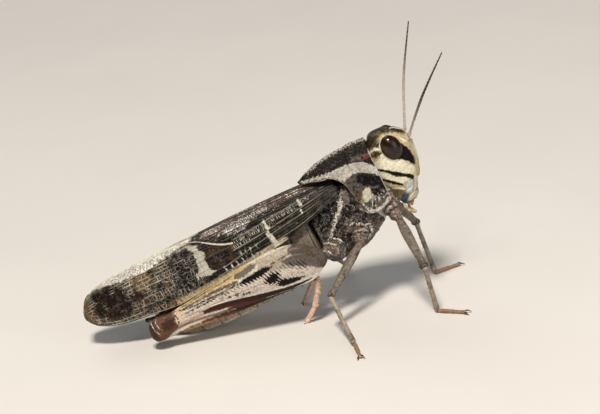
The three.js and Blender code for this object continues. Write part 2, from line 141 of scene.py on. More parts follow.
class GrasshopperColours(bpy.types.PropertyGroup):
    """The colours of the shell, wings, legs and eyes."""

    cream: tint("Cheek bands and pale marks", "dad2b8", "cream")
    straw: tint("Face and cheeks", "b9a67c", "straw")
    olive: tint("Crown and the back of the cheeks", "574729", "olive")
    black: tint("Cheek stripes and the saddle's velvet patch", "0b0807", "black")
    slate: tint("Lower half of the jaws", "3a4452", "slate")
    ice: tint("Upper half of the jaws", "c3c6c4", "ice")
    bark: tint("Back of the pronotum", "20160f", "bark")
    ash: tint("Grey lobes and flanks", "5d544c", "ash")
    chalk: tint("White lines of the shell", "d3ccbe", "chalk")
    rust: tint("Red-brown spots", "7a4034", "rust")
    char: tint("Dark flank and the wing's dark cells", "15110f", "charcoal")
    rose: tint("Upper side of the folded wings", "8a6f61", "rose")
    # Partly the wings' own silvery colour, partly a painted highlight on their curved backs.
    silver: tint("Scaled sheen along the back of the wings", "f2ece2", "silver")
    umber: tint("Netted rear half of the wings", "332314", "umber")
    ochre: tint("Spots and lower edge of the wings", "6e481c", "ochre")
    lichen: tint("Pale marks and net of the wings", "dad6c2", "lichen")
    belly: tint("Underside of the abdomen", "bda26c", "belly")
    shank: tint("Shins of the jumping legs", "532520", "shank")
    knee: tint("Knees of the jumping legs", "634534", "knee")
    thigh: tint("Pale face of the jumping thighs", "cdbfae", "thigh")
    limb: tint("Walking legs", "a39683", "limb")
    foot: tint("Feet of the jumping legs", "e3c0a6", "foot")
    toe: tint("Feet of the walking legs", "93745a", "toe")
    horn: tint("Feelers and claws", "3c261b", "horn")
    eye: tint("Ground colour of the eyes", "1c0f08", "eye")
    board: tint("Painted board under the animal", "dcd8d0", "board")


class GrasshopperSizes(bpy.types.PropertyGroup):
    """The sizes a maker would change, in metres."""

    wing_thickness: length("Of the leathery forewings", 0.00016, "Wing thickness")
    vein: length("Radius of the wings' long veins", 0.00005, "Vein radius")
    cell: length("Between the wings' cross-veins", 0.00042, "Cell length")
    spine: length("On the jumping shins", 0.0008, "Spine length")
    rings: IntProperty(name="Feeler rings", description="In each feeler's whip", default=25, min=5)
    seed: IntProperty(name="Seed", description="Of everything scattered", default=7)


def colours():
    return bpy.context.scene.grasshopper_colours


def sizes():
    return bpy.context.scene.grasshopper_sizes


# ------ curves and measures


def between(rows, t):
    """Smooth values between rows, t running from the first (0) to the last (1).

    The rows hold numbers or, where each t has rows of its own, one row for every t."""
    rows = np.asarray(rows, float)
    place = np.clip(t, 0, 1) * (len(rows) - 1)
    i = np.minimum(place.astype(int), len(rows) - 2)
    f = (place - i)[..., None]
    own = (np.arange(len(t)),) if rows.ndim == 3 else ()
    a, b, c, d = (rows[(np.clip(i + step, 0, len(rows) - 1), *own)] for step in (-1, 0, 1, 2))
    return b + 0.5 * f * (c - a + f * (2 * a - 5 * b + 4 * c - d + f * (3 * (b - c) + d - a)))


def squared(value, power):
    """A sine or cosine pushed towards a rounded square as the power grows over 2."""
    return np.sign(value) * np.abs(value) ** (2 / power)


def stroke(q, *route):
    """How far q lies inside a stroke through points of x, z and half width, in millimetres."""
    route = np.asarray(route, float).reshape(-1, 3)
    best = np.full(len(q), -9.0)
    for (x0, z0, r0), (x1, z1, r1) in zip(route, route[1:]):
        way = np.array([x1 - x0, z1 - z0])
        share = np.clip((q - (x0, z0)) @ way / (way @ way), 0, 1)
        gap = np.linalg.norm(q - (x0, z0) - share[:, None] * way, axis=1)
        best = np.maximum(best, r0 + (r1 - r0) * share - gap)
    return best


def line(q, *route):
    """The distance of q from a line through points of x and z."""
    route = np.asarray(route, float).reshape(-1, 2)
    return -stroke(q, np.insert(route, 2, 0, axis=1))


def blob(q, x, z, wide, high):
    """How far q lies inside an oval."""
    return (1 - np.hypot((q[:, 0] - x) / wide, (q[:, 1] - z) / high)) * min(wide, high)


def area(q, *corners):
    """How far q lies inside a closed outline through corners of x and z."""
    corners = np.asarray(corners, float).reshape(-1, 2)
    loop = np.vstack([corners, corners[:1]])
    inside = np.zeros(len(q), bool)
    for (x0, z0), (x1, z1) in zip(loop, loop[1:]):
        if z0 != z1:
            level = (z0 > q[:, 1]) != (z1 > q[:, 1])
            inside ^= level & (q[:, 0] < (x1 - x0) * (q[:, 1] - z0) / (z1 - z0) + x0)
    edge = line(q, loop)
    return np.where(inside, edge, -edge)


def any_of(*marks):
    """Where any of some marks is."""
    return np.maximum.reduce(marks)


def laid(q, *shapes):
    """How far q lies inside any of some shapes: a list is an outline, a tuple a stroke, the rest is ready."""
    drawn = {list: area, tuple: stroke}
    return any_of(*[drawn[type(each)](q, *each) if type(each) in drawn else each for each in shapes])


def fade(value, low, high):
    """0 below low, 1 above high, smooth between."""
    share = np.clip((value - low) / (high - low), 0, 1)
    return share * share * (3 - 2 * share)


def hump(value, width):
    """A round bump of height 1 about zero."""
    return np.exp(-((value / width) ** 2))


def hump_at(turn, angle, width):
    """A round bump at one angle round a ring."""
    return hump(np.angle(np.exp(1j * (turn - angle))), width)


def ripple(points, size, seed):
    """A gentle seeded unevenness between about -1 and 1, with swells of the given size."""
    rng = np.random.default_rng(seed)
    total = np.zeros(len(points))
    for _ in range(9):
        way = rng.normal(size=3)
        way *= 2 * math.pi / (size * rng.uniform(0.7, 1.5) * np.linalg.norm(way))
        total += np.sin(points @ way + rng.uniform(0, 2 * math.pi))
    return total / 4


# ------ shaping


def spots(bm):
    return np.array([v.co[:] for v in bm.verts])


def moved(bm, points):
    for vertex, point in zip(bm.verts, points):
        vertex.co = point


def raised(bm, amount):
    """Moves every vertex outwards by its own amount."""
    bm.normal_update()
    moved(bm, spots(bm) + np.array([v.normal[:] for v in bm.verts]) * amount[:, None])


def loft(around, steps, place, ends=(0.03, 0.03)):
    """A closed skin: a ball whose rings are placed by place(t, c, s), with round ends.

    c and s run round each ring, and (axis, c, s) is right-handed."""
    bm = bmesh.new()
    bmesh.ops.create_uvsphere(bm, u_segments=around, v_segments=steps, radius=1)
    unit = spots(bm)
    t = np.arccos(np.clip(-unit[:, 2], -1, 1)) / math.pi
    turn = np.arctan2(unit[:, 1], unit[:, 0])
    near = np.minimum(np.minimum(t / ends[0], (1 - t) / ends[1]), 1)
    shut = np.sqrt(np.clip(1 - (1 - near) ** 2, 0, 1))
    moved(bm, place(t, np.cos(turn) * shut, np.sin(turn) * shut))
    return bm


def sheet(along, across):
    """A flat sheet, with where its vertices lie along it and across it, each from 0 to 1."""
    bm = bmesh.new()
    bmesh.ops.create_grid(bm, x_segments=along, y_segments=across, size=1)
    return bm, *((spots(bm)[:, :2] + 1) / 2).T


def body_of(rows, around, steps, middle=0.0, ends=(0.03, 0.03)):
    """A body lofted along x from rows of [x, top, bottom, half width, squareness]."""

    def place(t, c, s):
        x, top, bottom, half, power = between(rows, t).T
        return np.stack(
            [
                x,
                middle + squared(c, power) * half,
                (top + bottom) / 2 + squared(s, power) * (top - bottom) / 2,
            ],
            1,
        )

    return loft(around, steps, place, ends)


def oval(at, radii, lean=0.0, around=48, steps=32):
    """An ellipsoid, leaning back about y."""
    bm = bmesh.new()
    bmesh.ops.create_uvsphere(bm, u_segments=around, v_segments=steps, radius=1)
    bmesh.ops.scale(bm, vec=radii, verts=bm.verts)
    bmesh.ops.rotate(bm, cent=(0, 0, 0), matrix=Matrix.Rotation(lean, 3, "Y"), verts=bm.verts)
    bmesh.ops.translate(bm, vec=at, verts=bm.verts)
    return bm


def course(route, up=(0, 0, 1)):
    """A smooth curve through points, as a function of t that gives its middles and the two ways across."""
    dense = between(route, np.linspace(0, 1, 300))
    ahead = np.gradient(dense, axis=0)
    ahead /= np.linalg.norm(ahead, axis=1)[:, None]
    over = np.asarray(up, float) - ahead * (ahead @ np.asarray(up, float))[:, None]
    over /= np.linalg.norm(over, axis=1)[:, None]
    aside = np.cross(over, ahead)
    run = np.concatenate([[0], np.cumsum(np.linalg.norm(np.diff(dense, axis=0), axis=1))])

    def at(t):
        return [
            np.stack([np.interp(t * run[-1], run, part[:, k]) for k in range(3)], 1)
            for part in (dense, over, aside)
        ]

    return at


def tube(route, shape, around=12, steps=40, up=(0, 0, 1), ends=(0.02, 0.02)):
    """A tube along a smooth curve; shape(t, c, s) gives its half depth and half width there."""
    at = course(route, up)

    def place(t, c, s):
        middle, over, aside = at(t)
        deep, wide = shape(t, c, s)
        return middle + over * (s * deep)[:, None] + aside * (c * wide)[:, None]

    return loft(around, steps, place, ends)


def plain(radius, tip=None):
    """The shape of a round tube that may taper."""
    last = radius if tip is None else tip
    return lambda t, c, s: (radius + (last - radius) * t,) * 2


def rod(bm, start, end, radius, tip, sides=4):
    """Adds a thin straight rod, which may taper, and says how many vertices it has."""
    start, end = Vector(start), Vector(end)
    way = end - start
    turn = way.to_track_quat("Z", "Y").to_matrix().to_4x4()
    made = bmesh.ops.create_cone(
        bm,
        cap_ends=True,
        segments=sides,
        radius1=radius,
        radius2=tip,
        depth=way.length,
        matrix=Matrix.Translation((start + end) / 2) @ turn,
    )
    return len(made["verts"])


def together(*parts):
    """Several shapes as one, in order, with a marked value for each of them or for each of its vertices."""
    whole = bmesh.new()
    values = []
    for part, value in parts:
        mesh = bpy.data.meshes.new("part")
        part.to_mesh(mesh)
        values.append(np.broadcast_to(np.asarray(value, float), len(mesh.vertices)))
        part.free()
        whole.from_mesh(mesh)
        bpy.data.meshes.remove(mesh)
    return whole, np.concatenate(values)


def other_side(bm):
    """Turns a left shape into a right one."""
    bmesh.ops.scale(bm, vec=(1, -1, 1), verts=bm.verts)
    bmesh.ops.reverse_faces(bm, faces=bm.faces)


def settled(bm, name, nodes, finish, marks=None, wall=0.0, way=1):
    """Makes a finished piece of a left shape.

    marks are its vertices' values, wall is a thickness given inwards, and way -1 turns it to the right."""
    if way < 0:
        other_side(bm)
    mesh = bpy.data.meshes.new(name)
    bm.to_mesh(mesh)
    bm.free()
    points = np.empty(len(mesh.vertices) * 3)
    mesh.vertices.foreach_get("co", points)
    points = points.reshape(-1, 3)
    for key, values in (marks or {}).items():
        kept = np.clip(values, -2, 2) if key not in ("along", "across") else values
        mesh.attributes.new(key, "FLOAT", "POINT").data.foreach_set("value", kept.astype(np.float32))
    mesh.vertices.foreach_set("co", placed(points).ravel())
    mesh.shade_smooth()
    mesh.update()
    piece = bpy.data.objects.new(name, mesh)
    bpy.context.scene.collection.objects.link(piece)
    mesh.materials.append(finish)
    if wall:
        shell = piece.modifiers.new("Wall", "SOLIDIFY")
        shell.thickness = wall
        shell.offset = -1
    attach(piece, "root")
    if nodes:
        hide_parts(*nodes)
    return piece


# ------ materials


def add(tree, kind, inputs=(), out=0, **settings):
    """Adds a node with its settings and its inputs, values or sockets, and gives one of its outputs."""
    made = tree.nodes.new("ShaderNode" + kind)
    for key, value in settings.items():
        setattr(made, key, value)
    for key, value in dict(inputs if isinstance(inputs, dict) else enumerate(inputs)).items():
        if isinstance(value, bpy.types.NodeSocket):
            tree.links.new(value, made.inputs[key])
        else:
            made.inputs[key].default_value = value
    return made.outputs[out] if made.outputs else None


class Finish:
    """A material being built: a ground colour, coats laid over it where a mark says, then grain and relief.

    A pattern's size is in millimetres. A size in place of a pattern means clouds of that size."""

    def __init__(self, name, ground):
        self.material = bpy.data.materials.new(name)
        self.material.use_nodes = True
        self.material.node_tree.nodes.clear()
        self.place = self.add("TexCoord", out="Object")
        self.colour = tuple(getattr(colours(), ground))
        self.height = None

    def add(self, kind, inputs=(), out=0, **settings):
        return add(self.material.node_tree, kind, inputs, out, **settings)

    def step(self, value, low, high, least=0.0, most=1.0):
        """A smooth step from least to most as a pattern goes from low to high."""
        inputs = (self.pattern(value), low, high, least, most)
        return self.add("MapRange", inputs, interpolation_type="SMOOTHSTEP")

    def product(self, first, *others):
        """Some values multiplied."""
        for other in others:
            first = self.add("Math", (first, other), operation="MULTIPLY")
        return first

    def pattern(self, size, detail=4.0, rough=0.55, feature=None, place=None):
        """Clouds of a size or, with a feature, cells: the distance to their middles or to their walls."""
        if isinstance(size, bpy.types.NodeSocket):
            return size
        inputs = {"Vector": place or self.place, "Scale": 1 / (size * MM)}
        if feature:
            return self.add("TexVoronoi", inputs, feature=feature)
        return self.add("TexNoise", inputs | {"Detail": detail, "Roughness": rough})

    def mark(self, key):
        """What a piece's vertices say under a key."""
        return self.add("Attribute", out="Fac", attribute_name=key)

    def share(self, key, ragged=0.06, soft=0.05, grain=0.35):
        """How much of a marked coat covers each point; its edge is ragged by noise."""
        shift = self.step(self.pattern(grain, 5.0, 0.65), 0.3, 0.7, -ragged, ragged)
        return self.step(self.add("Math", (self.mark(key), shift), operation="ADD"), -soft, soft)

    def over(self, colour, share, *shares):
        """Lays a colour over the rest, as much as its shares say together."""
        inputs = {0: self.product(share, *shares), 6: self.colour, 7: tuple(getattr(colours(), colour))}
        self.colour = self.add("Mix", inputs, 2, data_type="RGBA")
        return self

    def coat(self, key, ragged=0.06, soft=0.05, grain=0.35, of=None, cover=1.0):
        """Lays the colour of a marked coat, whose name is its key unless another is given."""
        return self.over(of or key, self.share(key, ragged, soft, grain), *([cover] if cover < 1 else []))

    def speckle(self, size, colour, low, high, cover=1.0):
        """Scatters flecks of a colour where noise of a size is high."""
        return self.over(colour, self.step(self.pattern(size, 3.0, 0.6), low, high, 0.0, cover))

    def shade(self, value, low, high, dark=0.6, light=1.0):
        """Darkens or lightens the colour as a pattern rises."""
        grey = self.add("CombineColor", [self.step(value, low, high, dark, light)] * 3)
        inputs = {0: 1.0, 6: self.colour, 7: grey}
        self.colour = self.add("Mix", inputs, 2, data_type="RGBA", blend_type="MULTIPLY")
        return self

    def relief(self, value, share):
        """Adds to the height that the bump reads, a pattern times share, in millimetres."""
        part = self.product(self.pattern(value), share)
        self.height = part if self.height is None else self.add("Math", (self.height, part), operation="ADD")
        return self

    def done(self, roughness=0.5, spread=0.12, ior=1.22, coat=0.0, coat_roughness=0.2, soft=0.0):
        """Closes the finish, its roughness uneven by spread and its inside lit softly where soft says."""
        inputs = {
            "Base Color": self.colour,
            "IOR": ior,
            "Coat Weight": coat,
            "Coat Roughness": coat_roughness,
            "Subsurface Weight": soft,
            "Subsurface Radius": (0.0006, 0.0003, 0.00015),
            "Roughness": self.step(0.5, 0.3, 0.7, roughness - spread, roughness + spread),
        }
        if self.height is not None:
            inputs["Normal"] = self.add("Bump", {"Height": self.height, "Distance": MM, "Strength": 1.0})
        self.add("OutputMaterial", (self.add("BsdfPrincipled", inputs),))
        return self.material


def made_once(build):
    """Calls a material's function only the first time that it is asked for."""

    def get():
        name = build.__name__
        return bpy.data.materials.get(name) or build(name)

    return get


@made_once
def cheek_cuticle(name):
    """Cuticle, hardened in air and waxed: satin, finely pitted, with sharp stripes in its own pigment."""
    made = Finish(name, "straw")
    made.speckle(0.7, "cream", 0.45, 0.7, 0.5)
    made.coat("olive", 0.25, 0.25, cover=0.9)
    made.speckle(0.3, "straw", 0.56, 0.7, 0.35)
    made.coat("brown", 0.2, 0.14, 0.25, of="bark", cover=0.88)
    made.coat("cream", 0.06, 0.06)
    made.coat("ice", 0.06, 0.1)
    made.coat("slate", 0.1, 0.22)
    made.coat("black", 0.1, 0.04, 0.16)
    pits = made.pattern(0.17, feature="F1")
    # Darker in the pits that the relief below presses in: painted shade in them.
    made.shade(pits, 0.05, 0.3, 0.62)
    made.shade(0.3, 0.3, 0.6, 0.74, 1.06)
    made.relief(made.step(pits, 0.05, 0.45), 0.014)
    made.relief(0.12, 0.018)
    return made.done(0.45, 0.1, soft=0.03)


@made_once
def saddle_shell(name):
    """The pronotum's thick cuticle: matt and granular like coarse leather, with waxy white bands."""
    made = Finish(name, "bark")
    made.speckle(0.35, "umber", 0.5, 0.7, 0.7)
    made.coat("ash", 0.2, 0.15)
    made.speckle(0.4, "char", 0.5, 0.62, 0.8)
    made.coat("cream", 0.12, 0.08)
    made.coat("amber", 0.15, 0.12, of="ochre", cover=0.6)
    made.coat("chalk", 0.14, 0.05, 0.25)
    made.coat("haze", 0.3, 0.4, of="ash", cover=0.35)
    made.coat("rust", 0.12, 0.08, cover=0.8)
    made.coat("black", 0.2, 0.06, 0.25)
    made.coat("rim", 0.03, 0.04, of="chalk", cover=0.85)
    made.coat("fleck", 0.22, 0.03, 0.16, of="chalk", cover=0.8)
    grains = made.pattern(0.19, feature="F1")
    # Lighter on the granules' raised tops and darker between them: painted light and shade.
    made.shade(grains, 0.1, 0.5, 1.05, 0.72)
    made.shade(0.3, 0.32, 0.62, 0.7, 1.1)
    made.relief(made.step(grains, 0.0, 0.5, 1.0, 0.0), 0.035)
    made.relief(0.15, 0.035)
    return made.done(0.5, 0.14)


@made_once
def flank_cuticle(name):
    """The thorax's plates: dark, deeply punctured cuticle, the ridges between its pits painted pale as glints.
    """
    made = Finish(name, "char")
    made.speckle(0.8, "ash", 0.5, 0.66, 0.6)
    made.coat("ash", 0.25, 0.25, cover=0.9)
    made.speckle(0.5, "char", 0.52, 0.62, 0.7)
    made.coat("pale", 0.2, 0.08, 0.22, of="chalk", cover=0.9)
    made.coat("rose", 0.2, 0.3, cover=0.6)
    made.coat("black", 0.08, 0.08, cover=0.9)
    ridges = made.pattern(0.2, feature="DISTANCE_TO_EDGE")
    ridge = made.step(ridges, 0.0, 0.12, 1.0, 0.0)
    # Pale on the raised ridges between the pits: a painted highlight.
    made.over("thigh", ridge, made.step(0.45, 0.45, 0.62, 0.0, 0.6))
    made.shade(0.22, 0.35, 0.62, 0.55, 1.2)
    made.relief(made.step(ridges, 0.0, 0.3, 1.0, 0.0), 0.06)
    made.relief(0.14, 0.05)
    return made.done(0.34, 0.14, coat=0.1)


@made_once
def ring_cuticle(name):
    """The abdomen's ring plates: thin, waxy cuticle, cream below and brown above, finely shagreened."""
    made = Finish(name, "cream")
    made.speckle(0.8, "ochre", 0.5, 0.75, 0.35)
    made.coat("ochre", 0.12, 0.15, cover=0.6)
    made.coat("brown", 0.15, 0.15, of="umber", cover=0.95)
    made.coat("ash", 0.3, 0.3, of="limb", cover=0.55)
    made.speckle(0.5, "char", 0.52, 0.66, 0.5)
    made.coat("black", 0.05, 0.06, cover=0.8)
    made.shade(0.3, 0.3, 0.65, 0.78, 1.06)
    made.relief(0.12, 0.03)
    return made.done(0.5, 0.1, soft=0.08)


@made_once
def forewing_leather(name):
    """The tegmen: parchment-like cuticle between veins, netted into cells, satin, with a silvery bloom along
    its back that is brightened by a painted highlight.
    """
    made = Finish(name, "char")
    spread = [made.product(made.mark(key), MM * stretch) for key, stretch in (("along", 0.6), ("across", 1))]
    walls = made.pattern(0.32, feature="DISTANCE_TO_EDGE", place=made.add("CombineXYZ", spread))
    net = made.step(walls, 0.01, 0.09, 1.0, 0.0)
    made.coat("umber", 0.3, 0.3, cover=0.9)
    made.coat("tan", 0.35, 0.2, 0.9, of="ochre", cover=0.2)
    made.coat("ochre", 0.2, 0.15, 0.5, cover=0.9)
    made.coat("dark", 0.5, 0.25, 0.6, of="black", cover=0.95)
    made.coat("rose", 0.12, 0.15)
    made.coat("grey", 0.15, 0.15, of="ash", cover=0.2)
    made.coat("edge", 0.12, 0.1, of="belly")
    made.coat("amber", 0.1, 0.3, of="ochre", cover=0.36)
    made.over("lichen", net, made.share("net", 0.3, 0.3, 0.6), 0.28)
    made.shade(0.22, 0.34, 0.6, 0.55, 1.15)
    # The silvery back of the wings, lightened further as a painted highlight, with painted highlight spots on
    # the rose band.
    made.coat("silver", 0.2, 0.1, 0.4)
    made.coat("lichen", 0.1, 0.05)
    made.coat("bar", 0.12, 0.06, of="lichen", cover=0.72)
    made.over("umber", net, made.share("silver", 0.25, 0.2), 0.8)
    made.relief(net, 0.035)
    made.relief(0.2, 0.022)
    return made.done(0.34, 0.12, 1.3)


@made_once
def wing_veins(name):
    """Veins: thicker, polished cuticle tubes, brown where the wing is dark and cream in its pale net."""
    made = Finish(name, "bark")
    made.over("lichen", made.mark("tone"))
    made.coat("ochre", 0.15, 0.15, cover=0.6)
    made.shade(0.4, 0.3, 0.65, 0.7, 1.1)
    return made.done(0.3, 0.08)


@made_once
def hindwing_film(name):
    """The hindwing: thin clear-yellow membrane folded like a fan, glossy along its pleats."""
    made = Finish(name, "ochre")
    made.speckle(1.2, "umber", 0.45, 0.7, 0.8)
    made.shade(0.4, 0.3, 0.65, 0.75, 1.1)
    return made.done(0.3, 0.08)


@made_once
def thigh_shell(name):
    """The jumping thigh: hard cuticle pressed into a fishbone relief, satin, banded in its own pigment."""
    made = Finish(name, "thigh")
    made.speckle(0.6, "ash", 0.5, 0.72, 0.4)
    made.coat("straw", 0.1, 0.3, of="belly", cover=0.85)
    made.coat("dull", 0.15, 0.12, of="limb", cover=0.92)
    made.coat("brown", 0.1, 0.12, of="umber", cover=0.88)
    made.coat("grey", 0.1, 0.12, of="ash", cover=0.95)
    made.coat("groove", 0.08, 0.1, of="char", cover=0.7)
    made.coat("rose", 0.12, 0.3, of="foot", cover=0.6)
    made.coat("dark", 0.14, 0.05, 0.2, of="black")
    made.coat("band", 0.05, 0.06, of="shank")
    made.coat("deep", 0.08, 0.2, of="bark", cover=0.85)
    made.coat("knee", 0.1, 0.15)
    made.coat("pit", 0.2, 0.25, of="bark", cover=0.7)
    made.speckle(0.3, "char", 0.56, 0.68, 0.4)
    made.coat("chalk", 0.04, 0.05)
    made.shade(0.2, 0.32, 0.62, 0.72, 1.1)
    made.relief(0.12, 0.035)
    return made.done(0.38, 0.12, coat=0.05)


@made_once
def shin_shell(name):
    """The jumping shin: smooth, waxed maroon cuticle, paler by the knee and with a painted highlight along its
    upper edge, its spines tipped with horn.
    """
    made = Finish(name, "shank")
    made.coat("amber", 0.15, 0.15, of="belly", cover=0.5)
    # Pale: the shin's own paler end by the knee, and a painted highlight along its upper edge.
    made.coat("pale", 0.1, 0.16, of="thigh", cover=0.85)
    made.coat("dark", 0.1, 0.15, of="bark", cover=0.8)
    made.coat("tip", 0.02, 0.1, of="black")
    made.shade(0.3, 0.3, 0.65, 0.75, 1.15)
    made.relief(0.12, 0.02)
    return made.done(0.34, 0.08, coat=0.2)


@made_once
def limb_shell(name):
    """The walking legs: ribbed, mottled cuticle, satin."""
    made = Finish(name, "limb")
    made.speckle(0.6, "ash", 0.48, 0.7, 0.55)
    made.coat("rose", 0.2, 0.3, cover=0.6)
    made.coat("dark", 0.1, 0.12, of="bark", cover=0.75)
    made.coat("tip", 0.02, 0.1, of="black")
    made.speckle(0.25, "umber", 0.56, 0.68, 0.5)
    made.shade(0.25, 0.3, 0.62, 0.78, 1.1)
    made.relief(0.15, 0.04)
    return made.done(0.46, 0.1)


def foot_finish(name, colour):
    """Thin cuticle that ends in pale pads and dark claws."""
    made = Finish(name, colour)
    made.coat("pad", 0.02, 0.1, of="belly", cover=0.7)
    made.coat("tip", 0.02, 0.12, of="horn")
    made.shade(0.35, 0.3, 0.65, 0.72, 1.08)
    made.relief(0.15, 0.03)
    return made.done(0.45, 0.1, soft=0.06)


@made_once
def pale_foot_cuticle(name):
    """The jumping legs' feet: thin pinkish cuticle over soft pads, lightly translucent, with dark claws."""
    return foot_finish(name, "foot")


@made_once
def brown_foot_cuticle(name):
    """The walking legs' feet: amber-brown cuticle over soft pads, with dark claws."""
    return foot_finish(name, "toe")


@made_once
def feeler_horn(name):
    """The feelers: dull ringed horn with fine down, dark towards the tip, paler at each joint."""
    made = Finish(name, "horn")
    made.coat("pale", 0.05, 0.3, of="thigh", cover=0.75)
    made.coat("joint", 0.01, 0.08, of="limb", cover=0.5)
    made.shade(0.3, 0.3, 0.65, 0.75, 1.1)
    made.relief(0.1, 0.02)
    return made.done(0.5, 0.08)


@made_once
def jaw_horn(name):
    """The jaws and lips: smooth cuticle, blue-grey on the jaws and cream on the lip, satin."""
    made = Finish(name, "straw")
    made.speckle(0.6, "cream", 0.42, 0.65, 0.6)
    made.coat("ice", 0.1, 0.2)
    made.coat("slate", 0.1, 0.25)
    made.coat("dark", 0.03, 0.08, of="black", cover=0.85)
    made.shade(0.25, 0.3, 0.62, 0.8, 1.06)
    made.relief(0.1, 0.02)
    return made.done(0.38, 0.08, coat=0.1)


@made_once
def eye_lens(name):
    """The compound eye: thousands of clear hexagonal lenses over brown pigment, glossy and faintly banded."""
    made = Finish(name, "eye")
    made.speckle(0.5, "horn", 0.48, 0.66, 0.7)
    made.coat("back", 0.1, 0.25, of="umber", cover=0.5)
    facets = made.pattern(0.055, feature="F1")
    made.relief(made.step(facets, 0.0, 0.6, 1.0, 0.0), 0.004)
    return made.done(0.22, 0.04, coat=0.5, coat_roughness=0.17)


@made_once
def ocellus_lens(name):
    """A simple eye: one clear bead of cuticle, amber and very glossy."""
    made = Finish(name, "straw")
    made.shade(0.2, 0.3, 0.65, 0.6, 1.1)
    return made.done(0.1, 0.03, coat=0.8, coat_roughness=0.04)


# ------ head

# Head rows are [z, back x, front x, half width, squareness], from the mouth up to the crown.
HEAD = [
    [-4.15, 38.6, 41.0, 1.75, 2.2],
    [-3.3, 37.95, 41.5, 2.12, 2.3],
    [-2.1, 37.5, 42.15, 2.38, 2.5],
    [-0.8, 37.3, 42.55, 2.46, 2.6],
    [0.5, 37.3, 42.75, 2.4, 2.6],
    [1.7, 37.45, 42.7, 2.22, 2.5],
    [2.8, 37.8, 42.3, 1.96, 2.3],
    [3.7, 38.25, 41.35, 1.5, 2.2],
    [4.17, 38.6, 40.4, 0.8, 2.0],
]
EYE_AT = (40.52, 1.92, 2.14)
EYE_RADII = (1.2, 0.95, 1.6)
EYE_LEAN = -0.1
FEELER_BASE = (42.1, 0.85, 1.9)


# The rows of every body lofted along x are [x, top, bottom, half width, squareness].
NECK = [
    [36.4, 1.0, -5.1, 1.5, 2.0],
    [37.5, 1.2, -5.2, 1.8, 2.1],
    [38.4, 1.2, -4.9, 1.85, 2.1],
    [39.3, 0.8, -4.2, 1.5, 2.0],
]
NECK_FOLD = 0.8


def head_place(t, c, s):
    z, back, front, half, power = between(HEAD, t).T
    return np.stack(
        [(front + back) / 2 + squared(c, power) * (front - back) / 2, squared(s, power) * half, z], 1
    )


def eye_reach(points):
    """1 on the eye's surface, less inside it, for either eye."""
    local = np.stack([points[:, 0], np.abs(points[:, 1]), points[:, 2]], 1) - EYE_AT
    x = local[:, 0] * math.cos(EYE_LEAN) - local[:, 2] * math.sin(EYE_LEAN)
    z = local[:, 0] * math.sin(EYE_LEAN) + local[:, 2] * math.cos(EYE_LEAN)
    return np.sqrt((x / EYE_RADII[0]) ** 2 + (local[:, 1] / EYE_RADII[1]) ** 2 + (z / EYE_RADII[2]) ** 2)


def head_relief(points):
    x, y, z = points.T
    out = np.abs(y)
    side = np.stack([x, z], 1)
    face = fade(x, 40.9, 41.6)
    ridge_half = 0.3 + 0.12 * fade(z, 0.5, 2.6) + 0.1 * fade(-z, 1.0, 3.0)
    ridge = fade(-out, -ridge_half - 0.12, -ridge_half + 0.08) * fade(z, -3.2, -2.6) * face
    gully = hump(y, 0.2) * fade(-z, -1.4, -0.6) * fade(z, -3.0, -2.2) * face
    amount = 0.2 * ridge - 0.1 * gully
    keel_y = 0.85 + 0.42 * fade(-z, -1.4, 2.6)
    amount += 0.1 * hump(out - keel_y, 0.1) * fade(-z, -1.3, -0.7) * fade(z, -3.2, -2.7) * face
    amount -= 0.14 * hump(z + 3.0 - 0.12 * out, 0.09) * face
    amount -= 0.1 * hump(line(side, (41.0, 0.2), (41.1, -1.2), (40.75, -2.9)), 0.08) * fade(out, 1.2, 1.6)
    amount -= 0.1 * hump(line(side, (38.2, -2.75), (39.4, -3.35), (40.8, -3.1)), 0.1) * fade(out, 1.0, 1.4)
    reach = eye_reach(points)
    amount += 0.07 * hump(reach - 1.04, 0.05) - 0.06 * hump(reach - 1.2, 0.08)
    socket = np.linalg.norm(np.stack([x, out, z], 1) - FEELER_BASE, axis=1)
    amount += 0.09 * hump(socket - 0.52, 0.09) - 0.14 * hump(socket, 0.3)
    crown = fade(z, 3.2, 3.8)
    amount -= 0.1 * hump(y, 0.45) * fade(x, 39.9, 40.6) * crown
    amount += 0.07 * (hump(out - 0.62, 0.1) * fade(x, 39.6, 40.4) + 0.6 * hump(y, 0.07)) * crown
    return amount + 0.025 * ripple(points, 1.1, 3)


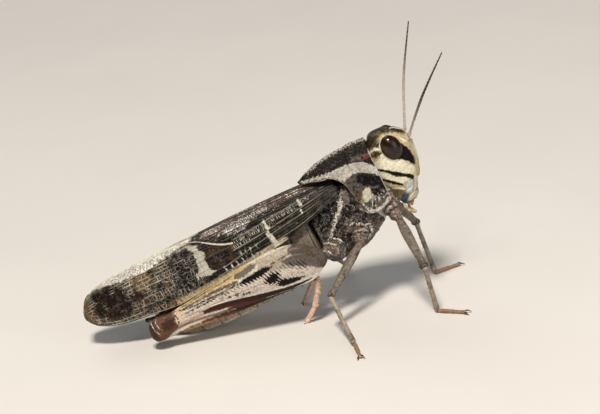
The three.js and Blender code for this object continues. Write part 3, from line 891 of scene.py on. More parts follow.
def head_marks(points):
    q = flat(points)
    out = np.abs(points[:, 1])
    side = np.minimum(out - 0.75, 2)
    front = points[:, 0] > 41.2
    olive = laid(
        q,
        [37, 1.1, 38.5, 1.15, 38.9, 2.4, 39.2, 3, 40.3, 3.4, 41.2, 2.95, 42, 2.3, 42.6, 2.6, 42.2, 5, 37, 5],
        [37.4, -2.2, 38.6, -3.0, 39.6, -3.4, 39.3, -4.2, 38.2, -4.0, 37, -3.5],
    )
    brown = laid(
        q,
        [37, 3.3, 38.2, 3.5, 39.3, 3.55, 40, 3.25, 41, 2.95, 41.8, 2.45, 42.5, 2.3, 42.8, 3, 41, 5, 37, 5],
        (37.4, 2.75, 0.2, 38.2, 2.6, 0.24, 38.9, 2.3, 0.17),
        (37.4, 1.45, 0.16, 38.2, 1.45, 0.26, 38.75, 1.3, 0.12),
        (38.4, 4.0, 0.3, 40.4, 3.9, 0.35, 41.6, 3.2, 0.2),
        area(q, 37, 2.2, 38.4, 2.3, 38.9, 2.9, 39.6, 3.4, 39, 3.7, 37, 3.7) - 0.12,
    )
    cream = laid(
        q, [37.5, 0.7, 38.8, 0.75, 39.5, 0.1, 40.6, -0.45, 41.3, -1.3, 41.6, -1.65, 41.4, -2.3, 40.84, -2.26,
         40.0, -1.78, 39.2, -1.2, 38.4, -0.68, 37.9, -0.3, 37.3, 0.1],
        [37.5, -0.6, 38.0, -0.68, 38.56, -1.18, 39.2, -1.84, 39.87, -2.16, 40.4, -2.52, 40.3, -2.8, 39.9,
         -2.9, 39.4, -2.8, 38.7, -2.35, 38.16, -1.78, 37.6, -1.3],
        (37.5, 1.9, 0.12, 38.2, 2.07, 0.15, 38.7, 1.85, 0.14, 38.95, 1.7, 0.1),
        (39.85, 3.05, 0.05, 39.3, 2.65, 0.1, 38.95, 2.05, 0.12, 38.97, 1.2, 0.13, 39.4, 0.35, 0.14, 40.1,
         -0.3, 0.1),
        (38.7, 1.0, 0.22, 39.0, 0.5, 0.15),
        (42.45, 1.2, 0.14, 42.55, 0.4, 0.16, 42.5, -0.6, 0.1),
        (41.3, -2.9, 0.22, 40.95, -3.7, 0.22, 40.4, -4.5, 0.2),
        (38.3, -2.9, 0.06, 39.2, -3.3, 0.1, 39.5, -3.6, 0.08),
        (41.4, 2.0, 0.1, 41.9, 1.4, 0.12),
    )
    cream = np.maximum(np.minimum(cream, side + 0.5), 0.13 * hump(out, 0.22) * front - 0.08)
    black = laid(
        q,
        [40.9, 1.9, 41.35, 1.3, 41.76, 0.62, 41.95, -0.1, 42.0, -0.85, 41.8, -1.5, 41.5, -1.32, 41.14, -0.8,
         40.7, -0.4, 40.2, -0.1, 40.4, 0.6],
        [37.5, -0.05, 37.9, -0.28, 38.47, -0.7, 39.26, -1.23, 40.03, -1.8, 40.84, -2.26, 41.1, -2.6, 40.85,
         -2.98, 40.41, -2.55, 39.87, -2.16, 39.19, -1.84, 38.56, -1.18, 38.0, -0.66, 37.5, -0.35],
        (37.5, -1.35, 0.1, 38.2, -1.98, 0.17, 38.8, -2.5, 0.18, 39.4, -2.98, 0.1),
    )
    ice = area(
        q, 40.45, -2.72, 40.78, -3.2, 40.5, -3.6, 40.3, -3.95, 39.85, -4.28, 39.45, -4.08, 39.68, -3.5, 40.05,
        -3.05
    )
    slate = area(q, 39.3, -3.95, 39.85, -4.2, 39.55, -4.6, 39.0, -5.0, 38.6, -4.7, 38.8, -4.05)
    return {
        "olive": olive,
        "brown": brown,
        "cream": cream,
        "black": np.minimum(black, side),
        "ice": np.minimum(ice, side),
        "slate": np.minimum(slate, side),
    }


def build_head():
    bm = loft(176, 150, head_place, (0.06, 0.06))
    raised(bm, head_relief(spots(bm)))
    points = spots(bm)
    settled(bm, "head_capsule", ["head"], cheek_cuticle(), head_marks(points))
    for side, way in SIDES.items():
        eye = oval(EYE_AT, EYE_RADII, EYE_LEAN, 96, 72)
        marks = {"back": 39.85 - spots(eye)[:, 0]}
        settled(eye, f"compound_eye_{side}", [f"eye_{side}"], eye_lens(), marks, way=way)
    beads = [oval((42.93, 0, 1.35), (0.09, 0.12, 0.14), 0, 16, 12)]
    beads += [oval((42.02, 0.98 * way, 2.98), (0.11, 0.1, 0.12), 0, 16, 12) for way in (-1, 1)]
    settled(together(*[(bead, 0) for bead in beads])[0], "simple_eyes", [], ocellus_lens())
    neck = body_of(NECK, 72, 48, ends=(0.1, 0.1))
    points = spots(neck)
    fold = (points[:, 0] * 1.3 - points[:, 2] * 0.3) % NECK_FOLD - NECK_FOLD / 2
    raised(neck, 0.05 * ripple(points, 0.8, 14) - 0.08 * hump(fold, 0.12))
    marks = {"rose": points[:, 2] * 0 + 0.2, "black": 0.3 * ripple(points, 1.2, 15) - 0.25}
    settled(neck, "neck_membrane", [], flank_cuticle(), marks)


def lip_plate(rows, top, bottom, lean):
    """A curved plate of the mouth, from rows of [share downwards, half width, forward]."""

    def place(t, c, s):
        _, half, forward = between(rows, 1 - t).T
        z = top + (bottom - top) * (1 - t)
        x = forward + c * 0.42 + lean * (1 - t)
        return np.stack([x, squared(s, 2.6) * half, z], 1)

    return loft(56, 40, place, (0.12, 0.12))


def build_mouth():
    """Clypeus, lip, jaws and feelers of the mouth."""
    clypeus = lip_plate([[0, 1.1, 41.05], [0.5, 1.2, 41.0], [1, 1.15, 40.75]], -3.0, -4.1, 0)
    lip = lip_plate([[0, 1.05, 40.75], [0.5, 1.15, 40.62], [1, 0.75, 40.15]], -4.02, -5.25, 0)
    jaws = []
    for way in (-1, 1):
        jaw = oval((39.75, 0.95 * way, -3.95), (1.12, 0.98, 1.25), 0.35, 64, 48)
        points = spots(jaw)
        groove = hump(points[:, 2] + 4.3 - 0.4 * (points[:, 0] - 39.6), 0.1)
        raised(jaw, 0.06 * ripple(points, 1.5, 5) - 0.1 * groove)
        jaws.append((jaw, 2))
    palps = []
    for way in (-1, 1):
        long_palp = [(39.0, 1.0, -4.6), (38.95, 1.6, -5.2), (39.3, 1.75, -5.9), (39.9, 1.6, -6.3)]
        short_palp = [(39.4, 0.6, -5.0), (39.3, 0.9, -5.8), (39.7, 0.95, -6.3)]
        for route, count, radius in ((long_palp, 4, 0.2), (short_palp, 3, 0.17)):
            route = [(x, y * way, z) for x, y, z in route]

            def ringed(t, c, s):
                return (radius * (0.72 + 0.28 * np.abs(np.sin(t * count * math.pi))),) * 2

            palps.append((tube(route, ringed, 14, 60, (1, 0, 0), (0.05, 0.05)), 3))
    whole, kind = together((clypeus, 1), (lip, 1), *jaws, *palps)
    points = spots(whole)
    q = flat(points)
    jaw = np.where(kind == 2, 1.0, -1.0)
    upper = area(q, 40.4, -2.6, 40.8, -3.2, 40.3, -3.95, 39.85, -4.3, 39.4, -4.1, 39.6, -3.4)
    lower = area(q, 39.3, -3.95, 39.85, -4.2, 39.55, -4.65, 39.0, -5.3, 38.2, -5.0, 38.7, -4.05)
    lip_seam = 0.08 * hump(points[:, 2] + 4.06, 0.06) - 0.04
    marks = {
        "ice": np.minimum(jaw, upper),
        "slate": np.minimum(jaw, lower),
        "dark": any_of(np.minimum(jaw, -4.75 - points[:, 2]), np.minimum(-jaw, lip_seam)),
    }
    settled(whole, "jaws_and_lips", ["mouthparts"], jaw_horn(), marks)


SCAPES = {"right": (0.82, 0.15, 0.4), "left": (0.5, 0.2, 0.55)}
FEELER_TIPS = {"right": (50.6, 5.44, 11.05), "left": (48.4, 5.04, 12.95)}


def build_feelers():
    for side, way in SIDES.items():
        base = np.array(FEELER_BASE)
        turn = np.array(SCAPES[side])
        elbow = base + turn
        tip = np.array(FEELER_TIPS[side])
        bow = (elbow + tip) / 2 + (-0.35, 0, 0)
        rings = sizes().rings
        scape = tube([base - (0.25, 0, 0.2), base + turn * 0.55, elbow - (0.1, 0, 0.06)],
                     lambda t, c, s: (0.27 + 0.08 * np.sin(t * math.pi),) * 2, 20, 28, (0, 1, 0), (0.15, 0.2))
        joint = tube([elbow - (0.12, 0, 0.08), elbow + (0.05, 0.03, 0.1), elbow + (0.22, 0.12, 0.3)],
                     lambda t, c, s: (0.2 + 0.04 * np.sin(t * math.pi),) * 2, 18, 18, (0, 1, 0), (0.2, 0.25))

        def ringed(t, c, s):
            swell = 1 - 0.09 * np.abs(np.cos(t * rings * math.pi)) ** 12
            girth = 0.19 + 0.03 * np.sin(np.clip(t * 1.4, 0, 1) * math.pi) - 0.1 * t**3
            return girth * swell, 0.72 * girth * swell

        whip = tube([elbow + (0.15, 0.08, 0.2), bow, tip], ringed, 14, rings * 8, (0, 1, 0), (0.01, 0.02))
        whole, kind = together((scape, 1), (joint, 2), (whip, 3))
        points = spots(whole)
        share = (points[:, 2] - elbow[2]) / (tip[2] - elbow[2])
        phase = np.abs(np.cos(share * rings * math.pi))
        marks = {
            # Both feelers are pale at the base; the left one is paler further up than the right, painted light
            # and shade on two like feelers.
            "pale": np.where(kind == 1, 1.0, 0.25 - share) if side == "right" else 0.55 - share,
            "joint": np.where(kind == 3, phase**8 - 0.55, -1.0),
        }
        settled(whole, f"feeler_{side}", [f"antenna_{side}"], feeler_horn(), marks, way=way)


# ------ pronotum

# The pronotum's rows are [x, crest, shoulder y, shoulder z, lobe y, hem y].
SADDLE = [
    [28.8, 2.45, 2.6, 0.7, 3.3, 3.3],
    [30.4, 3.15, 2.6, 1.35, 3.3, 3.3],
    [31.9, 3.65, 2.62, 2.1, 3.3, 3.25],
    [33.4, 3.9, 2.7, 2.45, 3.35, 3.2],
    [34.9, 4.02, 2.55, 2.6, 3.35, 3.1],
    [36.5, 4.12, 2.35, 2.6, 3.1, 2.9],
    [38.0, 4.0, 2.2, 2.45, 2.75, 2.6],
]
SADDLE_HEM = -4.4
SADDLE_WALL = 0.3

# The pronotum from the side: the lower edge from the acute rear tip over the lobe to the front margin.
SADDLE_EDGE = [
    [28.9, 2.42],
    [30.2, 2.42],
    [31.4, 2.35],
    [32.5, 2.25],
    [33.3, 1.75],
    [33.85, 1.0],
    [34.1, 0.2],
    [34.35, -1.0],
    [34.5, -2.5],
    [34.8, -3.35],
    [35.4, -3.72],
    [36.1, -3.83],
    [37.1, -3.6],
    [38.0, -3.2],
]


def saddle_section(x, share):
    """The saddle's y and z at x, share running from the crest (0) to the hem (1)."""
    t = np.interp(x, [row[0] for row in SADDLE], np.linspace(0, 1, len(SADDLE)))
    _, crest, shoulder_y, shoulder_z, lobe, hem = between(SADDLE, t).T
    zero = np.zeros_like(x)
    corners = (
        (zero, crest),
        (shoulder_y * 0.55, crest - (crest - shoulder_z) * 0.42),
        (shoulder_y, shoulder_z),
        (lobe, (shoulder_z + SADDLE_HEM) * 0.35),
        ((lobe + hem) / 2, (shoulder_z + SADDLE_HEM * 2.4) * 0.35),
        (hem, zero + SADDLE_HEM),
    )
    return between([np.stack(corner, 1) for corner in corners], share)


def saddle_surface(u, v):
    """u runs from the rear tip to the front, v from one hem over the crest (0) to the other."""
    edge_x, edge_z = between(SADDLE_EDGE, u).T
    crest_x = 28.85 + 9.15 * np.clip(u, 0, 1) ** 0.9
    share = np.abs(v)
    low = np.zeros_like(u)
    high = np.ones_like(u)
    for _ in range(30):
        middle = (low + high) / 2
        above = saddle_section(edge_x, middle)[:, 1] > edge_z
        low = np.where(above, middle, low)
        high = np.where(above, high, middle)
    x = crest_x + (edge_x - crest_x) * share
    y, z = saddle_section(x, low * share).T
    return np.stack([x, np.sign(v) * y, z], 1), low * share


def saddle_relief(points, share):
    x, y, z = points.T
    out = np.abs(y)
    side = np.stack([x, z], 1)
    notch = hump(x - 35.2, 0.12)
    amount = (0.16 - 0.1 * notch) * hump(y, 0.12)
    amount += 0.1 * hump(share - 0.395, 0.03) * fade(x, 29.5, 31)
    for route in (
        [(35.25, 3.9), (35.2, 2.6), (35.35, 0.8), (35.6, -0.6)],
        [(36.2, 2.9), (36.15, 1.2), (36.3, -0.4), (36.5, -1.8)],
        [(37.1, 2.7), (37.0, 1.2), (37.1, -0.6)],
    ):
        amount -= 0.12 * hump(line(side, *route), 0.09) * fade(out, 0.3, 0.8)
    amount += 0.05 * ripple(points, 0.8, 11) * fade(-z, -1.5, 0.5)
    return amount + 0.03 * ripple(points, 0.45, 12)


def saddle_marks(points, near_hem):
    q = flat(points)
    band = area(
        q, 28.9, 2.35, 31.1, 2.0, 32.2, 1.9, 33.4, 1.85, 34.7, 1.8, 35.8, 1.55, 36.7, 1.05, 37.4, 0.3, 38.1,
        -0.5, 38.5, -1.6, 38.3, -2.1, 37.7, -1.3, 37.2, -0.75, 36.6, -0.2, 35.5, 0.45, 34.7, 0.55, 33.5, 0.2,
        33.0, 0.65, 32.1, 1.35, 31.0, 1.6, 28.9, 2.2
    )
    streaks = [(35.9 + 0.3 * i, -2.5, 0.02, 35.0 + 0.62 * i, -4.1 + 0.16 * i, 0.04) for i in range(5)]
    hem = stroke(
        q, 34.3, -3.0, 0.06, 34.8, -4.2, 0.14, 35.9, -4.42, 0.16, 36.8, -4.05, 0.16, 37.9, -3.35, 0.14
    )
    return {
        "ash": laid(
            q, [33.0, 0.9, 35, 0.6, 36.5, -0.4, 38.4, -1.6, 38.4, -5, 33.5, -5],
            [35.3, 2.5, 36.6, 2.2, 36.3, 1.45, 35.2, 1.8],
        ),
        "cream": area(
            q, 35.3, -1.5, 35.9, -1.65, 35.75, -2.35, 35.5, -3.0, 34.4, -3.0, 34.1, -2.8, 34.7, -2.1
        ),
        "amber": laid(q, [34.0, -1.6, 34.9, -2.0, 34.5, -3.1, 34.1, -3.2], (37.2, 1.6, 0.1, 37.9, 0.6, 0.12)),
        "chalk": laid(q, band, hem, *streaks),
        "haze": np.minimum(band, any_of(33.4 - q[:, 0], 0.3 * ripple(points, 0.8, 13))),
        "fleck": any_of(
            0.3 * hump(points[:, 1], 0.35) * fade(points[:, 0], 29.5, 31) - 0.22,
            blob(q, 36.4, -3.0, 1.6, 1.0) * 0.2 - 0.26,
        ),
        "rust": area(q, 36.6, 2.15, 37.6, 1.85, 37.6, 1.35, 36.6, 1.5),
        "black": laid(
            q,
            [35.05, 0.35, 35.9, 0.1, 36.7, -0.45, 37.6, -1.1, 38.3, -2.2, 38.0, -2.9, 37.3, -2.6, 36.8, -1.9,
             36.2, -1.6, 35.6, -1.45, 35.1, -0.9, 34.8, -0.2],
            [36.0, -2.0, 36.9, -2.2, 36.9, -3.0, 36.1, -3.0],
            (33.0, 2.1, 0.1, 35.0, 2.75, 0.12, 36.5, 2.7, 0.12, 38.0, 2.5, 0.1),
        ),
        "rim": near_hem,
    }


def build_pronotum():
    bm, u, v = sheet(170, 170)
    v = 2 * v - 1
    points, share = saddle_surface(u, v)
    moved(bm, points)
    raised(bm, saddle_relief(points, share))
    out = np.abs(v)
    near_hem = any_of(0.1 * hump(out - 1, 0.02), 0.1 * hump(u - 1, 0.012) * fade(out, 0.2, 0.4)) - 0.05
    marks = saddle_marks(points, near_hem)
    settled(bm, "saddle", ["pronotum"], saddle_shell(), marks, SADDLE_WALL * MM)


# ------ trunk

THORAX = [
    [28.25, 0.4, -7.85, 2.95, 2.4],
    [29.9, 0.7, -8.05, 3.2, 2.5],
    [31.6, 0.8, -8.0, 3.3, 2.5],
    [33.2, 0.8, -7.6, 3.2, 2.5],
    [34.6, 1.1, -6.9, 2.65, 2.4],
    [35.9, 1.3, -6.1, 2.4, 2.3],
    [37.0, 1.3, -5.0, 2.1, 2.2],
    [37.95, 1.1, -3.7, 1.6, 2.0],
]
ABDOMEN = [
    [7.0, -4.7, -6.9, 1.0, 2.0],
    [8.6, -3.8, -8.15, 1.75, 2.1],
    [11.0, -2.9, -8.95, 2.2, 2.2],
    [14.0, -2.0, -9.3, 2.5, 2.3],
    [17.5, -1.3, -9.25, 2.65, 2.3],
    [21.0, -0.8, -8.85, 2.7, 2.4],
    [24.5, -0.4, -8.3, 2.7, 2.4],
    [28.1, -0.1, -7.65, 2.7, 2.4],
]
ABDOMEN_LENGTH = 21.1
ABDOMEN_RINGS = 9
RING_STEP = 0.1

# The flank's sutures, as seen from the side.
FLANK_SUTURES = [
    [(33.9, 0.3), (33.95, -1.8), (34.2, -3.2), (35.4, -5.0)],
    [(32.4, 0.3), (32.35, -1.6), (31.9, -3.0), (31.0, -4.6)],
    [(31.3, 0.3), (30.8, -1.8), (30.0, -3.6), (29.4, -4.9)],
    [(29.9, 0.0), (29.3, -2.0), (28.8, -3.8)],
    [(31.2, -5.2), (32.6, -4.9), (34.0, -5.6)],
]


def thorax_relief(points):
    side = points[:, [0, 2]]
    flank = fade(np.abs(points[:, 1]), 1.2, 2.0)
    amount = sum(-0.2 * hump(line(side, *route), 0.1) for route in FLANK_SUTURES) * flank
    amount += 0.16 * hump(line(side, 32.5, -0.6, 32.4, -1.6, 31.5, -2.7, 29.9, -4.4), 0.2) * flank
    under = fade(-points[:, 2], 6.2, 7.2)
    amount -= 0.12 * hump(points[:, 0] - 31.2, 0.14) * under
    amount -= 0.12 * hump(points[:, 0] - 34.3, 0.14) * under
    return amount + 0.07 * ripple(points, 1.3, 21) + 0.04 * ripple(points, 0.5, 22)


def thorax_marks(points):
    q = flat(points)
    return {
        "ash": laid(
            q, [31.8, -6.6, 33.9, -5.2, 34.2, -4.3, 35.4, -4.9, 35.9, -7.6, 31, -9],
            (33.6, -0.8, 0.12, 33.8, -2.6, 0.16, 34.0, -3.9, 0.14),
            blob(q, 32.9, -1.4, 0.5, 0.8),
            blob(q, 32.4, -4.1, 0.8, 0.35),
            blob(q, 29.2, -4.5, 0.7, 0.4),
        ),
        "pale": laid(
            q, (32.2, -0.9, 0.22, 32.0, -2.1, 0.26, 31.1, -3.0, 0.15, 30.1, -4.1, 0.12, 29.2, -5.0, 0.12),
            (32.2, -2.0, 0.1, 31.6, -1.2, 0.06),
            (31.6, -4.4, 0.06, 32.8, -4.75, 0.07, 34.1, -5.6, 0.08, 34.1, -6.4, 0.07, 33.3, -6.9, 0.06),
            (33.75, -0.6, 0.05, 33.95, -2.6, 0.06, 34.1, -3.9, 0.07),
            [35.3, -4.5, 37.3, -4.7, 36.9, -5.1, 36.4, -5.9, 35.9, -5.3],
        ),
        "rose": laid(
            q, (31.4, -5.1, 0.25, 33.0, -5.4, 0.3, 33.6, -6.2, 0.2),
            (33.2, -0.6, 0.35, 32.9, -1.6, 0.1),
            [36.8, -4.8, 39, -4.0, 39, -6, 36.7, -6.2],
            stroke(q, 35.6, -6.4, 0.5, 33.5, -7.8, 0.4) - 0.1,
        ),
        "black": laid(
            q, (31.4, -4.7, 0.08, 32.8, -5.05, 0.08, 33.8, -5.9, 0.08, 33.8, -6.6, 0.08),
            (28.0, -7.6, 0.2, 31.5, -7.9, 0.2),
            (34.2, -1.0, 0.05, 34.4, -3.6, 0.1, 35.2, -5.0, 0.1),
            (36.5, -6.4, 0.1, 35.2, -7.2, 0.12, 33.4, -8.6, 0.1),
            [29.6, -1.9, 31.0, -2.2, 30.4, -3.2, 29.3, -4.2, 28.2, -4.3, 28.3, -3.0],
            [32.3, -2.4, 33.6, -2.2, 33.6, -3.6, 32.2, -3.9, 31.6, -3.4],
        ),
    }


def build_trunk():
    bm = body_of(THORAX, 150, 130, ends=(0.05, 0.05))
    raised(bm, thorax_relief(spots(bm)))
    settled(bm, "thorax_plates", ["thorax"], flank_cuticle(), thorax_marks(spots(bm)))

    def rings(t, c, s):
        x, top, bottom, half, power = between(ABDOMEN, t).T
        phase = (t * ABDOMEN_RINGS + 0.25) % 1
        flare = RING_STEP * (1 - phase) * fade(phase, 0.0, 0.06)
        z = (top + bottom) / 2 + squared(s, power) * ((top - bottom) / 2 + flare - 0.02)
        return np.stack([x, squared(c, power) * (half + flare - 0.02), z], 1)

    bm = loft(96, 252, rings, (0.05, 0.03))
    points = spots(bm)
    share = (points[:, 0] - ABDOMEN[0][0]) / ABDOMEN_LENGTH
    fold = hump(points[:, 2] + 6.3 + 0.8 * np.abs(share - 0.6), 0.14) * fade(np.abs(points[:, 1]), 1.0, 1.8)
    seam = hump(((share * ABDOMEN_RINGS + 0.25) % 1) - 0.03, 0.03)
    raised(bm, -0.16 * fold - 0.1 * seam + 0.03 * ripple(points, 0.6, 31))
    q = flat(points)
    marks = {
        "brown": laid(q, [3, 3, 30, 3, 30, -8.4, 24, -8.0, 22, -5.0, 9, -6.6, 3, -6], fold - 0.7),
        "ash": area(q, 23, -1, 31, -1, 31, -7, 27, -7, 24, -5.5),
        "ochre": stroke(
            q, 7.5, -7.6, 0.2, 8.6, -7.8, 0.25, 11.7, -8.2, 0.28, 15.7, -8.5, 0.25, 20, -8.6, 0.2
        ),
        "black": 0.2 * seam - 0.1,
    }
    settled(bm, "abdomen_rings", ["abdomen"], ring_cuticle(), marks)


def build_tail():
    """The ovipositor's four valves and the two cerci."""
    parts = [(oval((6.85, 0, -5.8), (0.68, 0.72, 0.9), 0, 32, 24), 0)]
    for way in (-1, 1):
        upper = [(6.8, 0.25 * way, -5.4), (5.95, 0.26 * way, -5.15), (5.35, 0.2 * way, -4.85)]
        lower = [(6.8, 0.25 * way, -6.2), (5.95, 0.26 * way, -6.45), (5.35, 0.2 * way, -6.75)]
        for route in (upper, lower):
            valve = tube(route, lambda t, c, s: (0.34 - 0.24 * t**1.6, 0.27 - 0.19 * t**1.6), 20, 32)
            parts.append((valve, 1))
    whole, kind = together(*parts)
    points = spots(whole)
    marks = {"dark": -points[:, 0] + 5.8, "tip": -points[:, 0] + 5.45, "pad": np.where(kind == 0, 0.5, -1.0)}
    settled(whole, "egg_valves", ["ovipositor"], limb_shell(), marks)
    for side, way in SIDES.items():
        cercus = tube([(8.6, 1.0, -4.6), (7.7, 1.5, -4.5), (7.0, 1.75, -4.3)], plain(0.32, 0.12), 18, 24)
        marks = {"rose": spots(cercus)[:, 2] * 0 + 0.2}
        settled(
            cercus,
            f"tail_feeler_{side}",
            [f"cercus_{side}"],
            limb_shell(),
            marks,
            way=way,
        )


# ------ wings

# A folded tegmen's rows are [x, top z, fold y, fold z, side y, side z, lower y, lower z], tip to base.
TEGMEN = [
    [-0.6, -0.55, 0.95, -0.75, 1.15, -0.95, 1.2, -1.3],
    [0.0, 0.45, 0.85, 0.15, 1.35, -0.9, 1.45, -2.1],
    [1.0, 1.1, 1.0, 0.65, 1.6, -0.9, 1.75, -2.75],
    [3.2, 1.65, 1.35, 1.0, 2.0, -1.0, 2.2, -3.35],
    [6.5, 1.82, 1.65, 1.2, 2.35, -1.0, 2.65, -3.62],
    [10.5, 1.86, 1.85, 1.3, 2.6, -0.9, 3.0, -3.95],
    [15.0, 1.86, 2.0, 1.35, 2.8, -0.8, 3.25, -3.45],
    [20.0, 1.86, 2.2, 1.4, 3.0, -0.6, 3.35, -2.75],
    [24.5, 1.85, 2.3, 1.4, 3.1, -0.4, 3.38, -2.25],
    [28.4, 1.78, 2.3, 1.35, 3.2, 0.0, 3.4, -1.2],
    [30.9, 1.6, 2.2, 1.25, 3.1, 0.45, 3.35, -0.35],
    [32.9, 1.45, 2.1, 1.15, 2.95, 0.7, 3.15, 0.1],
]
MIDLINE = 0.07
HINDWING_DEPTH = 0.62
HINDWING_PLEATS = 11
HINDWING_WALL = 0.08
LONG_VEINS = (0.05, 0.12, 0.19, 0.27, 0.35, 0.43, 0.5, 0.545, 0.59, 0.64, 0.69, 0.745, 0.8, 0.86, 0.92, 0.975)


def wing_face(u, v):
    """The left tegmen's outer face, u from the tip to the base, v from the midline down to the lower edge."""
    x, top, fold_y, fold_z, side_y, side_z, low_y, low_z = between(TEGMEN, u).T
    corners = (
        (0 * x + MIDLINE, top),
        (fold_y * 0.55, top - (top - fold_z) * 0.3),
        (fold_y, fold_z),
        (side_y, side_z),
        (low_y, low_z),
    )
    y, z = between([np.stack(corner, 1) for corner in corners], v).T
    return np.stack([x, y, z], 1)


def silver_edge(q):
    """The silvery bloom along the back of the folded wings, brightened by a painted highlight."""
    return area(
        q, 0.9, 0.9, 1.5, 1.2, 3.3, 1.0, 5.5, 0.8, 8.1, 0.55, 9.1, 0.8, 11.0, 1.1, 12.7, 1.4, 14.3, 1.6, 16.5,
        2.2, 16.5, 4, 0.5, 4
    )


def comb_band(q):
    """The band of fine pale cross-veins along the front half."""
    return stroke(q, 29.0, 0.35, 0.15, 26.0, 0.0, 0.3, 22.6, -0.45, 0.45, 20.0, -0.8, 0.5, 18.9, -0.9, 0.4)


def dark_patches(q):
    """The blotches between the wing's pale marks."""
    return laid(
        q, [11.2, 1.0, 13.6, 1.0, 13.9, 0.6, 14.0, -1.8, 12.9, -0.9, 11.0, -0.5],
        [11.0, -1.0, 12.6, -1.1, 14.0, -1.9, 13.4, -3.9, 10.6, -3.0],
        [15.3, 0.5, 17.0, -0.3, 19.0, -1.1, 18.6, -3.1, 15.3, -2.5],
        blob(q, 9.2, -1.8, 0.65, 0.65),
        blob(q, 8.6, 0.35, 0.4, 0.35),
        blob(q, 7.2, -3.5, 0.6, 0.35),
        blob(q, 9.3, -3.5, 0.55, 0.5),
    )


def tip_patch(q):
    """The darkest blotch, near the wing's tip."""
    return laid(
        q,
        [1.0, 0.8, 2.3, 0.85, 3.8, 0.7, 4.7, 0.2, 4.8, -0.9, 5.2, -2.2, 4.4, -3.2, 2.6, -3.1, 1.3, -2.2, 0.9,
         -0.9],
        blob(q, 5.8, -1.7, 1.0, 0.5),
    )


def pale_marks(q):
    """The spots and the ticks on the wing's dark half."""
    lower = (16.8, 17.6, 18.3, 19.1, 19.6, 20.3, 20.9, 21.4)
    ticks = [(at, -2.8, 0.04, at + 0.08, -3.3, 0.06) for at in lower]
    ticks += [(at, -2.0, 0.03, at, -2.5, 0.04) for at in (19.2, 19.8, 20.4, 21.2)]
    return laid(
        q, (27.75, 0.6, 0.1, 27.85, -0.1, 0.15),
        (27.6, -0.6, 0.08, 27.6, -1.0, 0.08),
        (23.1, -0.05, 0.13, 23.25, -0.9, 0.2),
        (23.0, -1.4, 0.2, 23.2, -2.3, 0.32, 23.45, -3.3, 0.3),
        *ticks,
    )


def pale_bar(q):
    """The ashy bar across the wing's middle."""
    return area(
        q, 13.8, 1.3, 14.75, 0.8, 14.9, 0.15, 15.4, -0.35, 15.15, -1.0, 15.05, -1.9, 15.2, -2.6, 15.9, -2.8,
        15.0, -3.1, 14.2, -2.85, 13.6, -2.7, 13.3, -3.0, 13.4, -2.4, 13.95, -1.85, 14.2, -0.7, 14.2, 0.2,
        13.8, 0.75
    )


def lower_strip(q):
    """The pale strip along the wing's lower edge."""
    return area(
        q, 8.3, -4.0, 11.6, -4.0, 14.4, -3.75, 17.2, -3.5, 19.9, -3.2, 22.4, -2.85, 24.5, -2.55, 25.5, -4, 20,
        -5, 8.3, -5.8
    )


def wing_marks(points):
    q = flat(points)
    x, z = q.T
    return {
        "umber": 14.4 - x,
        "tan": np.minimum(10.8 - x, 0.4) + 0.2 * ripple(points, 2.6, 44) - 0.25,
        "dark": laid(
            q, dark_patches(q),
            np.minimum(tip_patch(q), 0.2),
            [18.9, 0.4, 20.0, 0.1, 22.0, 0.75, 26, 0.95, 30, 0.95, 31.5, 0.5, 26, 0.3, 22, 0.15, 20.4, -0.15,
             19, -0.45, 18.4, 0.1],
            (31.5, -0.2, 0.1, 25, -1.2, 0.25, 19, -2.2, 0.2),
            (30.5, -1.3, 0.1, 25, -2.6, 0.2, 18.5, -3.3, 0.15),
        ),
        "ochre": laid(
            q, [5.6, 0.9, 7.9, 0.9, 8.7, -0.5, 7.5, -1.0, 5.9, 0.0],
            blob(q, 7.2, -1.0, 0.7, 0.6),
            [8.3, -3.9, 10.6, -3.9, 10.6, -5.4, 8.3, -5.6],
            [22.2, -2.7, 24.6, -2.4, 24.6, -3.6, 22.2, -3.6],
            (29.9, 0.65, 0.16, 31.3, 0.75, 0.12),
        ),
        "edge": np.minimum(lower_strip(q), x - 10.0),
        "rose": area(
            q, 15.9, 1.1, 17.1, 0.95, 18.4, 0.55, 19.4, 0.15, 20.5, 0.45, 22, 0.85, 24, 1.1, 28, 1.15, 33,
            1.1, 33, 4, 15, 4
        ),
        "grey": laid(
            q, (30.0, -0.6, 0.2, 24, -1.75, 0.3),
            (1.0, -2.4, 0.15, 4.0, -3.4, 0.25, 6.0, -3.9, 0.15),
        ),
        # The silvery back, brightened as a painted highlight; the spots, the streak and the clouds on the
        # upper surfaces are painted highlights.
        "silver": laid(
            q, silver_edge(q),
            blob(q, 19.9, 0.85, 1.8, 0.65),
            blob(q, 22.4, 1.25, 1.8, 0.3),
            blob(q, 17.3, 1.6, 1.4, 0.25),
            (18, 1.95, 0.08, 28, 1.8, 0.1),
            0.25 * ripple(points * (0.6, 1, 1), 1.1, 43) * fade(z, 0.4, 1.0) - 0.24,
        ),
        "amber": any_of(
            0.7 - x,
            np.minimum(
                area(q, 15.3, 0.6, 17.2, -0.2, 19.2, -1.1, 18.6, -3.0, 15.3, -2.5),
                0.4 * ripple(points, 0.7, 45),
            ) - 0.03,
        ),
        "net": any_of(
            np.minimum(
                np.minimum(14.2 - x, 0.4),
                -0.15 - tip_patch(q),
            ) - 0.35 * fade(dark_patches(q), -0.1, 0.1),
            -0.2 * np.abs(x - 17) - 0.1,
        ),
        "lichen": pale_marks(q),
        "bar": pale_bar(q),
    }


